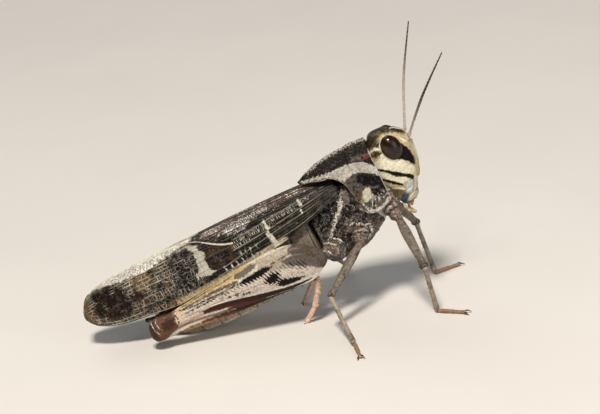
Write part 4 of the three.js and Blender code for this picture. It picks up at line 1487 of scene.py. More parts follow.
def vein_tone(points, crossing):
    """How pale a vein is at some points: 0 brown, 1 cream."""
    q = flat(points)
    x = q[:, 0]
    rear = fade(-x, -14.6, -13.6)
    dim = 0.45 * fade(tip_patch(q), -0.5, 0.3) + 0.3 * fade(dark_patches(q), -0.25, 0.15)
    tone = rear * (0.42 - dim) + (1 - rear) * (0.03 if crossing else 0.08)
    if crossing:
        tone += 1.0 * fade(comb_band(q), -0.12, 0.02)
    tone += (0.05 + 0.25 * rear) * ripple(points, 1.1, 42)
    tone = np.maximum(tone, 0.62 * fade(pale_bar(q), -0.05, 0.03))
    tone = np.maximum(tone, 0.85 * fade(lower_strip(q), -0.05, 0.05) * fade(x, 9.5, 10.5))
    # Long veins are pale and short ones dark in the painted highlight along the back.
    tone = np.where(silver_edge(q) > 0, 0.15 if crossing else 1.0, tone)
    return np.clip(np.maximum(tone, 1.1 * fade(pale_marks(q), -0.05, 0.03)), 0, 1)


def build_wings():
    rng = np.random.default_rng(sizes().seed)
    shares = np.linspace(0, 1, 400)
    reach = between(TEGMEN, shares)[:, 0]

    def share_of(x):
        """The share of the way along the tegmen at which it reaches x."""
        return np.interp(x, reach, shares)

    grid_u, grid_v = np.meshgrid(np.linspace(0, 1, 500), np.linspace(0, 1, 160), indexing="ij")
    table = wing_face(grid_u.ravel(), grid_v.ravel())
    table_flat = flat(table)

    def on_wing(x, z):
        """The place on the wing that a point of the flat layout marks."""
        nearest = np.argmin(np.sum((table_flat - (x, z)) ** 2, axis=1))
        return grid_u.ravel()[nearest], grid_v.ravel()[nearest]

    def tubed(us, vs, radius, tip, sides, steps):
        run = wing_face(np.asarray(us, float), np.asarray(vs, float))
        return tube(run, plain(radius, tip), sides, steps, (0, 0.6, 0.8), (0.01, 0.01))

    for side, way in SIDES.items():
        bm, u, v = sheet(420, 96)
        points = wing_face(u, v)
        width = np.interp(u, [0, 0.1, 0.3, 0.7, 1], [1.6, 4.6, 7.0, 6.4, 4.2])
        moved(bm, points)
        vein_rise = sum(hump((v - at) * width, 0.09) for at in LONG_VEINS)
        raised(bm, 0.035 * vein_rise + 0.02 * ripple(points, 1.6, 41) - 0.05)
        marks = wing_marks(points) | {"along": points[:, 0], "across": v * width}
        wall = sizes().wing_thickness
        settled(
            bm,
            f"forewing_{side}",
            [f"tegmen_{side}"],
            forewing_leather(),
            marks,
            wall,
            way,
        )

        radius = sizes().vein / MM
        parts = []
        for at in LONG_VEINS:
            ends = np.linspace(0.035 + 0.5 * abs(at - 0.55) ** 2, 0.99, 40)
            drift = 0.006 * np.sin(ends * 23 + at * 50)
            bolder = 1.35 if at in (0.5, 0.59, 0.69) else 0.8
            parts.append((tubed(ends, at + drift, radius * bolder, radius * bolder, 8, 160), 0))
        for route, thick in (
            ([(14.0, 1.5), (14.9, 1.2), (16.0, 0.6), (17.0, -0.05), (17.9, -0.5), (18.95, -0.8)], 2.7),
            ([(31.2, 0.75), (28, 0.45), (24, 0.05), (21, -0.3), (18.9, -0.45)], 1.6),
            ([(31.5, 0.2), (28, -0.35), (24, -0.95), (21, -1.35), (18.4, -1.6)], 1.6),
            ([(32.3, -0.1), (28, -1.0), (24, -1.6), (20, -2.3), (16.5, -2.9)], 1.3),
            ([(32.3, -0.5), (28, -1.9), (24, -2.6), (18.9, -3.3), (15.5, -3.6)], 1.3),
        ):
            us, vs = zip(*[on_wing(x, z) for x, z in route])
            parts.append(
                (tubed(us, vs, radius * thick * 0.6, radius * thick, 8, 60), 0.75 if thick > 2 else 0.3),
            )
        whole, white = together(*parts)
        long_veins = (whole, np.maximum(vein_tone(spots(whole), False), white))
        spread = sizes().cell / MM
        gaps = []
        for near, far in zip(LONG_VEINS, LONG_VEINS[1:]):
            gap, tones = bmesh.new(), []
            x = 0.6
            while x < 32:
                at = np.array([share_of(x), share_of(x + rng.uniform(-0.25, 0.25))])
                pair = wing_face(at, np.array([near, far]))
                comb = fade(comb_band(flat(pair.mean(0)[None])), -0.1, 0.05)[0]
                thick = radius * (0.55 + 0.12 * comb)
                count = rod(gap, pair[0], pair[1], thick, thick)
                tones.append(np.full(count, vein_tone(pair.mean(0)[None], True)[0] * rng.uniform(0.2, 1.9)))
                x += spread * rng.uniform(0.55, 1.25) * (0.55 if x > 18 else 1.15)
            gaps.append((gap, np.concatenate(tones)))
        whole, tone = together(long_veins, *gaps)
        points = spots(whole)
        marks = {"tone": tone, "ochre": 0.6 - points[:, 0]}
        settled(whole, f"wing_veins_{side}", [], wing_veins(), marks, way=way)

        bm, u, v = sheet(160, 60)
        moved(bm, wing_face(0.24 + 0.56 * u, 0.1 + 0.42 * v))
        raised(bm, -HINDWING_DEPTH + 0.09 * np.cos(v * HINDWING_PLEATS * 2 * math.pi))
        name, node, film = f"hindwing_fan_{side}", f"hindwing_{side}", HINDWING_WALL * MM
        settled(bm, name, [node], hindwing_film(), None, film, way)


# ------ legs

LEGS = {
    "fore": {
        "coxa": ((37.35, 2.0, -4.75), (0.85, 0.95, 1.3)),
        "hip": (37.7, 2.75, -5.75),
        "femur": 6.8,
        "tibia": 6.3,
        "bend": (0.25, 1, 0.25),
        "ankle": (37.2, 5.9, 0.5),
        "toe": (39.9, 7.4, 0.2),
        "girth": 1.0,
    },
    "mid": {
        "coxa": ((32.85, 2.6, -5.5), (1.05, 0.95, 1.3)),
        "hip": (32.6, 3.3, -6.2),
        "femur": 7.5,
        "tibia": 6.5,
        "bend": (-1, 0, 0.1),
        "ankle": (27.5, 12.0, 0.5),
        "toe": (27.8, 15.4, 0.2),
        "girth": 0.95,
    },
}
STRIDE = {"right": 0.0, "left": 0.9}
FEMUR = [
    [0, 0.3, 0.26],
    [0.08, 0.44, 0.38],
    [0.3, 0.58, 0.48],
    [0.55, 0.54, 0.44],
    [0.82, 0.42, 0.35],
    [0.93, 0.46, 0.4],
    [1, 0.38, 0.32],
]
TIBIA = [
    [0, 0.3, 0.26],
    [0.06, 0.33, 0.29],
    [0.14, 0.26, 0.24],
    [0.4, 0.27, 0.25],
    [0.75, 0.27, 0.26],
    [0.95, 0.33, 0.31],
    [1, 0.3, 0.28],
]
HIND_Y = 4.5
LEFT_KNEE_RISE = 0.5
SHIN_SPINES = 11
HIND_FEMUR = [
    [6.0, -4.5, -5.8, 0.42, 2.0],
    [6.5, -3.85, -6.3, 0.85, 2.2],
    [7.6, -3.62, -6.35, 1.0, 2.3],
    [8.8, -3.75, -5.85, 0.8, 2.2],
    [10.6, -3.6, -5.6, 0.72, 2.1],
    [14.0, -3.15, -5.95, 0.9, 2.0],
    [17.2, -2.7, -6.25, 1.05, 2.0],
    [20.4, -2.3, -6.6, 1.15, 2.0],
    [23.3, -2.12, -6.9, 1.15, 2.0],
    [25.6, -2.55, -7.05, 1.05, 2.0],
    [27.3, -3.6, -6.75, 0.8, 2.0],
    [28.4, -4.7, -6.0, 0.5, 2.0],
]
HIND_COXA = ((29.5, 2.95, -5.75), (1.35, 1.25, 1.5))
HIND_TIBIA = [
    (7.3, 4.5, -5.9),
    (12.0, 4.48, -6.36),
    (16.5, 4.44, -6.78),
    (21.5, 4.36, -7.05),
    (26.4, 4.2, -7.35),
]
HIND_TARSUS = [(26.35, 4.2, -7.5), (25.4, 3.9, -9.4), (24.4, 3.5, -10.95)]
HIND_TOE = (22.75, 3.05, 0.24)
CLAW = [(-0.1, 0.1, 0), (0.42, 0.3, 0.12), (0.8, 0.42, -0.12)]


def knee_of(hip, ankle, femur, tibia, bend):
    """The knee of a leg whose segments have given lengths, on the side that it bends to."""
    reach = np.linalg.norm(ankle - hip)
    axis = (ankle - hip) / reach
    along = (femur**2 - tibia**2 + reach**2) / (2 * reach)
    out = np.asarray(bend, float) - axis * (axis @ bend)
    return hip + axis * along + out / np.linalg.norm(out) * math.sqrt(femur**2 - along**2)


def limb(start, end, rows, girth=1.0, keels=5, around=48, steps=100, over=0.22):
    """A ribbed limb, a little past its joints, from rows of [share, half depth, half thickness]."""
    start, end = np.asarray(start, float), np.asarray(end, float)
    ahead = (end - start) / np.linalg.norm(end - start) * over
    shares = np.linspace(0, 1, 300)
    known, deep, wide = between(rows, shares).T

    def shape(t, c, s):
        rib = 0.97 + 0.08 * np.abs(np.cos(np.arctan2(s, c) * keels / 2)) ** 8
        return np.interp(t, known, deep) * girth * rib, np.interp(t, known, wide) * girth * rib

    return tube(
        [start - ahead, (start + end) / 2, end + ahead],
        shape,
        around,
        steps,
        (1, 0, 0),
        (0.04, 0.04),
    )


def hip_of(at, hip, radius, tip, seed):
    """A coxa: a short ridged cone from the body down to the hip, with its ridges' marks."""
    at, hip = np.asarray(at, float), np.asarray(hip, float)
    root = at - (hip - at) * 0.9

    def shape(t, c, s):
        girth = radius + (tip - radius) * t**1.6 + 0.08 * hump(t - 0.42, 0.06) - 0.06 * hump(t - 0.55, 0.05)
        rib = 1 + 0.06 * np.cos(np.arctan2(s, c) * 4 + 1)
        return girth * rib, girth * rib * 0.95

    bm = tube([root, at, hip + (hip - at) * 0.1], shape, 64, 60, (1, 0, 0), (0.2, 0.15))
    raised(bm, 0.05 * ripple(spots(bm), 0.9, seed))
    points = spots(bm)
    run = (points - root) @ (hip - root) / ((hip - root) @ (hip - root))
    marks = {
        "rose": run * 0 + 0.3,
        "pale": 0.2 * hump(run - 0.42, 0.06) - 0.1,
        "black": 0.2 * hump(run - 0.56, 0.06) - 0.1,
        "ash": 0.2 * ripple(points, 1.5, seed + 1) - 0.1,
    }
    return bm, marks


def foot(joints, stout=1.0):
    """Three tarsal segments with pads below, an end pad and two hooked claws."""
    joints = [np.asarray(joint, float) for joint in joints]
    toe, before = joints[-1], joints[-2]
    ahead = (toe - before) / np.linalg.norm(toe - before)
    side = np.cross((0, 0, 1), ahead)
    side /= np.linalg.norm(side)
    parts = []
    for i, (a, b) in enumerate(zip(joints, joints[1:])):
        way = (b - a) / np.linalg.norm(b - a)
        girth = (0.21, 0.2, 0.17)[i] * stout
        swell = lambda t, c, s: ((girth + 0.05 * np.sin(t * math.pi) + 0.05 * hump(t - 0.92, 0.12)),) * 2
        parts.append(
            (tube([a - way * 0.12, (a + b) / 2, b + way * 0.1], swell, 24, 36, (0, 0, 1), (0.1, 0.1)), 0),
        )
        down = np.cross(side, way)
        down = down if down[2] < 0 else -down
        for share in ((0.3, 0.62, 0.95), (0.85,), ())[i]:
            for half in (-1, 1):
                at = a + (b - a) * share + down * 0.17 * stout + side * 0.08 * half
                parts.append((oval(at, np.array((0.16, 0.12, 0.14)) * stout, 0.3, 14, 10), 1))
    parts.append((oval(toe + ahead * 0.2, (0.2, 0.18, 0.15), 0, 20, 14), 1))
    for way in (-1, 1):
        route = [toe + ahead * f + side * (way * w) + (0, 0, u) for f, w, u in CLAW]
        parts.append((tube(route, plain(0.13, 0.03), 12, 22, (0, 0, 1), (0.05, 0.05)), 2))
    whole, kind = together(*parts)
    reach = (spots(whole) - toe) @ ahead
    return whole, {"pad": np.where(kind == 1, 1.0, -1.0), "tip": np.where(kind == 2, reach - 0.2, -1.0)}


def add_spines(bm, at, shares, ways, length, base, sides=6):
    """Adds spines along a course and gives every vertex's nearness to a spine's tip."""
    tips = [np.full(len(bm.verts), -1.0)]
    for share, way in zip(shares, ways):
        root = at(np.array([share]))[0][0]
        way = np.asarray(way, float) / np.linalg.norm(way)
        count = rod(bm, root + way * 0.2, root + way * (0.2 + length), base, 0.012, sides)
        tips.append(np.repeat([-0.5, 0.35], [count // 2, count - count // 2]))
    return np.concatenate(tips)


def walking_leg(kind, side, way):
    leg = LEGS[kind]
    stride = STRIDE[side]
    hip = np.array(leg["hip"])
    ankle = over_ground(leg["ankle"][0] + stride, *leg["ankle"][1:])
    toe = over_ground(leg["toe"][0] + stride, *leg["toe"][1:])
    knee = knee_of(hip, ankle, leg["femur"], leg["tibia"], np.array(leg["bend"]))
    heel = ankle - (0, 0, 0.25)
    joints = [heel, heel + (toe - heel) * 0.42, heel + (toe - heel) * 0.62, toe]

    def keep(bm, part, slot, finish, marks):
        settled(bm, f"{kind}_{part}_{side}", [f"{kind}leg_{part}_{side}"], finish, marks, way=way)

    girth = leg["girth"]
    bm, marks = hip_of(leg["coxa"][0], hip, leg["coxa"][1][0] + 0.1, 0.5, 51)
    keep(bm, "coxa", "body_cuticle", flank_cuticle(), marks)

    axis = (ankle - knee) / np.linalg.norm(ankle - knee)
    thigh = (knee - hip) / np.linalg.norm(knee - hip)
    aside = np.cross(axis, thigh)
    aside /= np.linalg.norm(aside)
    sides = [knee + aside * 0.24 * half - thigh * 0.12 for half in (-1, 1)]
    lobes = [oval(at, (0.33, 0.18, 0.36), 0, 24, 18) for at in sides]
    joint = oval(hip, (0.5, 0.46, 0.5), 0, 32, 24)
    femur, _ = together(*[(part, 0) for part in (limb(hip, knee, FEMUR, girth), joint, *lobes)])
    share = np.linalg.norm(spots(femur) - hip, axis=1) / leg["femur"]
    marks = {"rose": 0.2 - share, "dark": any_of(share - 0.93, 0.2 * ripple(spots(femur), 1.9, 61) - 0.2)}
    keep(femur, "femur", "leg_shell", limb_shell(), marks)

    tibia = limb(knee, ankle, TIBIA, girth, 4, 40, 90, 0.15)
    at = course([knee, (knee + ankle) / 2, ankle])
    pairs = [(i, half) for i in range(7) for half in (-1, 1)]
    shares = [0.3 + 0.1 * i + 0.02 * half for i, half in pairs]
    ways = [axis * 0.6 - thigh * 0.5 + aside * 0.6 * half for _, half in pairs]
    tip = add_spines(tibia, at, shares, ways, 0.32, 0.05, 5)
    share = np.linalg.norm(spots(tibia) - knee, axis=1) / leg["tibia"]
    marks = {"tip": tip, "rose": share - 0.9, "dark": 0.18 * ripple(spots(tibia), 1.7, 62) - 0.17}
    keep(tibia, "tibia", "leg_shell", limb_shell(), marks)

    bm, marks = foot(joints)
    keep(bm, "tarsus", "foot_shell", brown_foot_cuticle(), marks)


def thigh_relief(points, turn):
    """The thigh's keels, its fishbone relief and its knee."""
    x, _, z = points.T
    q = flat(points)
    keel = sum(0.09 * hump_at(turn, at, 0.07) for at in (1.571, 0.55, 2.59, -1.0, -2.14))
    body = fade(x, 9.0, 10.5) * fade(-x, -27.6, -26.6)
    middle = np.interp(x, [9, 14, 20, 22, 23.6, 25.7, 27], [-4.75, -4.75, -4.9, -5.5, -6.0, -6.8, -7.2])
    panel = fade(0.52 - np.abs(np.sin(turn) + 0.12), 0, 0.16) * fade(x, 10.5, 12.5) * fade(-x, -26.8, -25.6)
    chevron = (x + np.where(z > middle, 0.5, 1.7) * np.abs(z - middle)) / 0.46
    ribs = 0.5 + 0.5 * np.cos(2 * math.pi * chevron)
    amount = keel * body * 0.9 + 0.07 * panel * (ribs**0.8 - 0.6) - 0.03 * panel
    amount -= 0.1 * hump(z - middle, 0.07) * panel
    knee = fade(-x, -9.2, -8.4)
    upper, lower = line(q, 8.6, -5.2, 7.0, -5.1, 6.2, -5.7), line(q, 8.8, -5.7, 7.2, -5.55, 6.6, -6.1)
    amount += knee * 0.06 * (hump(upper, 0.1) + hump(lower, 0.09))
    amount -= knee * 0.07 * hump(line(q, 8.9, -5.45, 7.1, -5.3, 6.35, -5.95), 0.08)
    return amount + 0.015 * ripple(points, 0.8, 71), ribs * panel, panel


def thigh_marks(points, ribs, panel, turn):
    q = flat(points)
    x, z = q.T
    lined = any_of(
        fade(z, -6.1, -5.7) * fade(x, 10.5, 12) * fade(-x, -21.5, -20.5),
        fade(x, 20.2, 21.0) * fade(-x, -27, -26) * fade(z + 0.55 * (x - 24), -7.0, -6.0),
    )
    places = ((15.0, -6.0), (15.9, -6.25), (16.8, -6.35), (17.5, -6.6), (18.1, -6.72))
    dots = [blob(q, *at, 0.2, 0.12) for at in places]
    gap = 0.42 - ribs + 0.25 * ripple(points, 1.0, 72)
    band = area(
        q, 12.4, -6.5, 13.4, -6.35, 14.8, -6.45, 16.7, -6.8, 18.6, -7.2, 20.5, -7.6, 22.4, -7.95, 24.4, -8.15,
        26.2, -8.2, 27, -9, 12, -9, 12.2, -7.3,
    )
    pink = stroke(
        q, 9.5, -7.0, 0.25, 11.5, -6.95, 0.2, 13.1, -7.05, 0.16, 14.6, -7.28, 0.1, 15.6, -7.35, 0.03
    )
    return {
        "straw": area(q, 9, -3.2, 20, -2.8, 19.6, -4.0, 17.3, -4.8, 13, -5.0, 9.5, -5.3),
        "brown": laid(
            q, [24.2, -4.0, 26.0, -3.4, 29, -4, 30, -9, 27.4, -8.0, 26.0, -6.4, 25.0, -5.5, 24.4, -4.9],
            (9.8, -5.4, 0.07, 11.2, -5.12, 0.12, 14.5, -4.95, 0.2, 17.4, -4.95, 0.14),
            (10.3, -5.0, 0.02, 13.0, -4.6, 0.04, 16.2, -4.3, 0.04, 17.4, -4.1, 0.02),
            (9.6, -5.8, 0.04, 12.2, -5.75, 0.06, 15.4, -5.55, 0.06),
            (9.3, -6.25, 0.03, 12.0, -6.2, 0.05),
            (9.2, -6.7, 0.05, 12.4, -6.65, 0.05),
            (20.3, -4.9, 0.06, 22.5, -4.75, 0.08, 24.4, -4.6, 0.1),
        ),
        "dull": laid(
            q, [20.4, -3.75, 25, -3.5, 25.4, -4.9, 20.2, -4.95],
            [21.0, -4.8, 26.5, -4.6, 27.4, -8.0, 25.7, -6.9, 23.6, -5.9, 21.2, -5.6],
            (11, -5.4, 0.1, 17, -5.3, 0.1),
        ),
        "grey": laid(
            q, [17.3, -4.65, 17.4, -4.2, 19.8, -3.8, 20.3, -4.0, 20.1, -4.35, 18.2, -4.85],
            [23.0, -5.0, 25.0, -4.8, 26.9, -6.3, 27.2, -7.8, 25.8, -6.9, 23.7, -5.9],
        ),
        "rose": laid(q, [8.5, -5.9, 12.6, -6.3, 12.6, -7.4, 8.5, -7.4], 10.2 - x) - 0.1,
        "knee": 9.1 - x,
        "pit": laid(
            q, [7.1, -6.2, 7.6, -5.7, 8.2, -5.45, 9.0, -5.65, 8.8, -6.5, 8.0, -6.8, 7.3, -6.6],
            6.5 - x,
        ),
        "groove": gap * 0.4 * fade(panel, 0.3, 0.9) - 0.2 * (1 - panel) - 0.3 * (1 - lined),
        "dark": laid(
            q, area(
                q, 17.2, -5.5, 18.3, -5.0, 19.4, -4.9, 20.8, -4.75, 22.0, -5.1, 20.6, -5.75, 19.0, -5.9, 17.7,
                -5.75
            ) - 0.36 * ribs,
            area(
                q, 19.9, -6.5, 20.5, -5.75, 21.4, -5.5, 22.6, -5.8, 22.3, -6.7, 22.0, -7.4, 20.8, -7.2
            ) - 0.5 * ribs,
            area(q, 21.4, -7.3, 22.1, -6.75, 23.6, -7.25, 24.9, -7.75, 23.2, -8.0, 22.0, -7.75) - 0.2 * ribs,
            *dots,
            (12.0, -6.35, 0.02, 15.1, -6.62, 0.03, 18.0, -7.0, 0.03),
            (8.3, -4.85, 0.04, 11.1, -5.4, 0.04, 15.1, -5.4, 0.05, 17.6, -5.3, 0.08),
            (6.3, -7.2, 0.2, 7.8, -7.3, 0.15),
            (6.75, -4.5, 0.04, 6.45, -5.2, 0.07, 6.55, -6.1, 0.07, 7.0, -6.8, 0.04),
            (9.15, -5.2, 0.05, 9.4, -6.0, 0.07, 9.2, -6.6, 0.05),
        ),
        "band": np.minimum(band, -pink),
        "deep": np.minimum(
            laid(
                q, (12.5, -6.4, 0.05, 14.8, -6.75, 0.14, 16.2, -7.0, 0.2, 17.7, -7.32, 0.25, 19.1, -7.68, 0.3,
                 20.5, -7.95, 0.3, 22.0, -8.15, 0.3, 26.5, -8.2, 0.4),
                x - 19.6,
            ),
            band,
        ),
        "chalk": laid(
            q, (11.5, -6.1, 0.03, 12.8, -6.15, 0.05, 14.8, -6.4, 0.07, 16.7, -6.76, 0.08, 18.6, -7.18, 0.09,
             20.5, -7.55, 0.1, 22.4, -7.9, 0.1, 24.4, -8.08, 0.1, 26.3, -8.1, 0.08),
            (19.7, -8.15, 0.05, 21.0, -8.36, 0.09, 23.1, -8.58, 0.11, 25.2, -8.5, 0.11, 26.4, -8.2, 0.1, 27.0,
             -7.7, 0.07),
            (16.0, -3.95, 0.02, 18.0, -3.7, 0.05, 21, -3.55, 0.05, 24, -3.6, 0.02),
            (8.9, -6.05, 0.03, 10.5, -6.4, 0.07, 12.2, -6.45, 0.03),
            (7.0, -4.2, 0.0, 6.3, -5.1, 0.04, 6.35, -6.1, 0.04, 6.8, -6.9, 0.0),
            (7.2, -4.7, 0.0, 6.8, -5.3, 0.03, 6.95, -6.1, 0.02, 7.3, -6.5, 0.0),
        ),
    }


def build_jumping_legs():
    for side, way in SIDES.items():

        def keep(bm, part, slot, finish, marks):
            if way > 0:
                points = spots(bm)
                moved(bm, points + np.outer(LEFT_KNEE_RISE * fade(-points[:, 0], -16, -8.5), (0, 0, 1)))
            settled(bm, f"hind_{part}_{side}", [f"hindleg_{part}_{side}"], finish, marks, way=way)

        trochanter = oval((28.7, 3.75, -5.5), (0.85, 0.75, 0.8), 0, 40, 30)
        coxa, _ = together((oval(*HIND_COXA, 0, 72, 56), 0), (trochanter, 0))
        q = flat(spots(coxa))
        folds = sum(
            hump(line(q, *route), 0.1)
            for route in (
                (28.0, -4.6, 29.3, -4.9, 30.2, -5.6, 30.4, -6.6, 29.9, -7.6),
                (27.8, -5.2, 28.8, -5.4, 29.5, -6.0, 29.5, -7.0),
                (27.6, -6.0, 28.4, -6.2, 28.7, -6.8),
            )
        )
        raised(coxa, 0.05 * ripple(spots(coxa), 0.9, 52) + 0.1 * folds)
        marks = {
            "ash": q[:, 0] * 0 + 0.5,
            "rose": stroke(q, 27.8, -5.5, 0.3, 29.4, -6.4, 0.4),
            "pale": 0.3 * folds - 0.2,
            "black": 0.25 * ripple(spots(coxa), 1.4, 53) - 0.22,
        }
        keep(coxa, "coxa", "body_cuticle", flank_cuticle(), marks)

        turns = {}

        def place(t, c, s):
            x, top, bottom, half, power = between(HIND_FEMUR, t).T
            turn = np.arctan2(s, c)
            turns["turn"] = turn
            flange = 0.58 * fade(x, 11, 19) * fade(-x, -27.6, -26)
            drop = flange * (hump_at(turn, -1.12, 0.3) + 0.7 * hump_at(turn, -2.02, 0.3))
            drop -= 0.5 * flange * hump_at(turn, -1.571, 0.3)
            z = (top + bottom) / 2 + squared(s, power) * (top - bottom) / 2 - drop
            return np.stack([x, HIND_Y + squared(c, power) * half, z], 1)

        femur = loft(128, 300, place, (0.02, 0.02))
        turn = turns["turn"]
        amount, ribs, panel = thigh_relief(spots(femur), turn)
        raised(femur, amount)
        keep(femur, "femur", "hind_femur_shell", thigh_shell(), thigh_marks(spots(femur), ribs, panel, turn))

        def shin(t, c, s):
            girth = 0.37 + 0.1 * hump(t - 0.3, 0.22) + 0.06 * fade(-t, -0.09, -0.02) + 0.05 * t**4
            turn = np.arctan2(s, c)
            rib = 1 + 0.08 * np.abs(np.cos(turn * 2 + 0.78)) ** 10
            return girth * rib, 0.36 * rib

        tibia = tube(HIND_TIBIA, shin, 44, 240, (0, 0, 1), (0.02, 0.02))
        at = course(HIND_TIBIA)
        shares, ways = [], []
        for i in range(SHIN_SPINES):
            for row in (0, 1):
                shares.append(0.24 + 0.7 * (i + 0.4 * row) / SHIN_SPINES)
                ways.append((0.6, 0.7 if row == 0 else -0.7, -0.75))
        for spur in ((0.8, 0.5, -0.8), (0.9, -0.5, -0.8), (0.5, 0.7, -1.0), (0.6, -0.7, -1.0)):
            shares.append(0.975)
            ways.append(spur)
        tip = add_spines(tibia, at, shares, ways, sizes().spine / MM * 0.8, 0.07)
        points = spots(tibia)
        q = flat(points)
        marks = {
            "tip": tip,
            # A painted highlight along the shin's upper edge, and the shin's own paler end by the knee.
            "pale": laid(
                q,
                (7.7, -7.4, 0.3, 8.9, -7.1, 0.34, 10.2, -7.1, 0.32, 12.7, -7.2, 0.24, 14.3, -7.45, 0.14, 17,
                 -7.85, 0.05),
                8.6 - q[:, 0],
            ),
            "amber": stroke(
                q, 9.1, -7.8, 0.12, 10.9, -7.75, 0.18, 12.1, -7.95, 0.2, 14.1, -8.25, 0.18, 16.4, -8.5, 0.12
            ),
            "dark": q[:, 0] - 16.0,
        }
        keep(tibia, "tibia", "hind_tibia_shell", shin_shell(), marks)

        bm, marks = foot([*HIND_TARSUS, over_ground(*HIND_TOE)], 1.4)
        keep(bm, "tarsus", "foot_shell", pale_foot_cuticle(), marks)


# ------ stage

AIM = (27.8, 0.0, -0.3)
VIEW_ELEVATION = math.radians(20)
VIEW_ROLL = math.radians(8.7)
VIEW_DISTANCE = 0.291
LENS = 150.15


@made_once
def studio_floor(name):
    """Painted board: matt and pale, with a faint grain."""
    made = Finish(name, "board")
    made.shade(30.0, 0.3, 0.7, 0.97, 1.0)
    return made.done(0.7, 0.05)


def lamp(name, spot, power, size, tint_code="ffffff"):
    """An area lamp at a spot, facing the animal."""
    light = bpy.data.lights.new(name, "AREA")
    light.energy = power
    light.size = size
    light.color = linear(tint_code)[:3]
    holder = bpy.data.objects.new(name, light)
    holder.location = spot
    holder.rotation_euler = (Vector((0, 0, 0.01)) - Vector(spot)).to_track_quat("-Z", "Y").to_euler()
    bpy.context.scene.collection.objects.link(holder)


def build_stage():
    bm = bmesh.new()
    bmesh.ops.create_grid(bm, x_segments=1, y_segments=1, size=3)
    mesh = bpy.data.meshes.new("floor")
    bm.to_mesh(mesh)
    bm.free()
    floor = bpy.data.objects.new("floor", mesh)
    bpy.context.scene.collection.objects.link(floor)
    mesh.materials.append(studio_floor())
    floor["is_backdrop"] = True

    scene = bpy.context.scene
    scene.view_settings.view_transform = "Standard"
    if scene.world is None:
        scene.world = bpy.data.worlds.new("studio")
    scene.world.use_nodes = True
    back = scene.world.node_tree.nodes["Background"]
    back.inputs["Color"].default_value = linear("e8ebf0")
    back.inputs["Strength"].default_value = 0.16
    lamp("key_lamp", (-0.04, -0.22, 0.4), 2.3, 0.08, "fff8f0")
    lamp("fill_lamp", (0.3, -0.35, 0.16), 0.6, 0.3, "eef3ff")
    lamp("rim_lamp", (-0.15, 0.35, 0.35), 0.5, 0.3)

    ahead = Vector((0, math.cos(VIEW_ELEVATION), -math.sin(VIEW_ELEVATION)))
    right = Vector((1, 0, 0))
    up = right.cross(ahead)
    across = right * math.cos(VIEW_ROLL) - up * math.sin(VIEW_ROLL)
    upward = right * math.sin(VIEW_ROLL) + up * math.cos(VIEW_ROLL)
    aim = Vector(placed([AIM])[0])
    data = bpy.data.cameras.new("camera")
    data.lens = LENS
    data.clip_start = 0.005
    camera = bpy.data.objects.new("camera", data)
    turn = Matrix((across, upward, -ahead)).transposed().to_4x4()
    camera.matrix_world = Matrix.Translation(aim - ahead * VIEW_DISTANCE) @ turn
    scene.collection.objects.link(camera)
    scene.camera = camera


# ------ operators


class GRASSHOPPER_OT_head(bpy.types.Operator):
    """Model the head capsule, the eyes and the mouth."""

    bl_idname = "grasshopper.head"
    bl_label = "Head"

    def execute(self, context):
        build_head()
        build_mouth()
        return {"FINISHED"}


class GRASSHOPPER_OT_feelers(bpy.types.Operator):
    """Model the two ringed feelers."""

    bl_idname = "grasshopper.feelers"
    bl_label = "Feelers"

    def execute(self, context):
        build_feelers()
        return {"FINISHED"}


class GRASSHOPPER_OT_pronotum(bpy.types.Operator):
    """Model the crested saddle behind the head."""

    bl_idname = "grasshopper.pronotum"
    bl_label = "Pronotum"

    def execute(self, context):
        build_pronotum()
        return {"FINISHED"}


class GRASSHOPPER_OT_trunk(bpy.types.Operator):
    """Model the thorax, the ringed abdomen and the tail."""

    bl_idname = "grasshopper.trunk"
    bl_label = "Trunk"

    def execute(self, context):
        build_trunk()
        build_tail()
        return {"FINISHED"}


class GRASSHOPPER_OT_wings(bpy.types.Operator):
    """Model the veined forewings and the folded hindwings."""

    bl_idname = "grasshopper.wings"
    bl_label = "Wings"

    def execute(self, context):
        build_wings()
        return {"FINISHED"}


class GRASSHOPPER_OT_walking_legs(bpy.types.Operator):
    """Model the fore and middle legs."""

    bl_idname = "grasshopper.walking_legs"
    bl_label = "Walking legs"

    def execute(self, context):
        for kind in LEGS:
            for side, way in SIDES.items():
                walking_leg(kind, side, way)
        return {"FINISHED"}


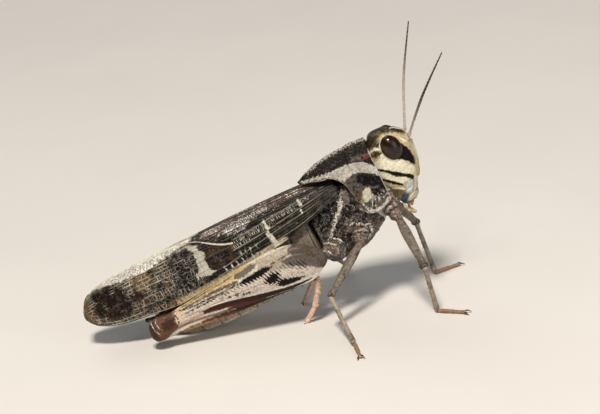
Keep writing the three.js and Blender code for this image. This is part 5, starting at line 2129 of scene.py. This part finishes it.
class GRASSHOPPER_OT_jumping_legs(bpy.types.Operator):
    """Model the big hind legs with their fishbone thighs and spined shins."""

    bl_idname = "grasshopper.jumping_legs"
    bl_label = "Jumping legs"

    def execute(self, context):
        build_jumping_legs()
        return {"FINISHED"}


class GRASSHOPPER_OT_stage(bpy.types.Operator):
    """Set the floor, the lamps and the camera."""

    bl_idname = "grasshopper.stage"
    bl_label = "Stage"

    def execute(self, context):
        build_stage()
        return {"FINISHED"}


OPERATORS = (
    GRASSHOPPER_OT_head,
    GRASSHOPPER_OT_feelers,
    GRASSHOPPER_OT_pronotum,
    GRASSHOPPER_OT_trunk,
    GRASSHOPPER_OT_wings,
    GRASSHOPPER_OT_walking_legs,
    GRASSHOPPER_OT_jumping_legs,
    GRASSHOPPER_OT_stage,
)


class GRASSHOPPER_PT_panel(bpy.types.Panel):
    """Lists the operators that build the grasshopper."""

    bl_label = "Grasshopper"
    bl_space_type = "VIEW_3D"
    bl_region_type = "UI"
    bl_category = "Grasshopper"

    def draw(self, context):
        for operator in OPERATORS:
            self.layout.operator(operator.bl_idname)
        for group in (context.scene.grasshopper_sizes, context.scene.grasshopper_colours):
            column = self.layout.column()
            for key in group.__annotations__:
                column.prop(group, key)


CLASSES = (GrasshopperColours, GrasshopperSizes, *OPERATORS, GRASSHOPPER_PT_panel)


def register():
    for each in CLASSES:
        bpy.utils.register_class(each)
    bpy.types.Scene.grasshopper_colours = PointerProperty(type=GrasshopperColours)
    bpy.types.Scene.grasshopper_sizes = PointerProperty(type=GrasshopperSizes)


def unregister():
    del bpy.types.Scene.grasshopper_sizes
    del bpy.types.Scene.grasshopper_colours
    for each in reversed(CLASSES):
        bpy.utils.unregister_class(each)


def main():
    register()
    for operator in OPERATORS:
        group, name = operator.bl_idname.split(".")
        getattr(getattr(bpy.ops, group), name)()
    boxes = {"solids": SOLIDS_BOX, "pieces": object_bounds()}
    {key: [list(corner) for corner in box] for key, box in boxes.items()}


if __name__ == "__main__":
    main()
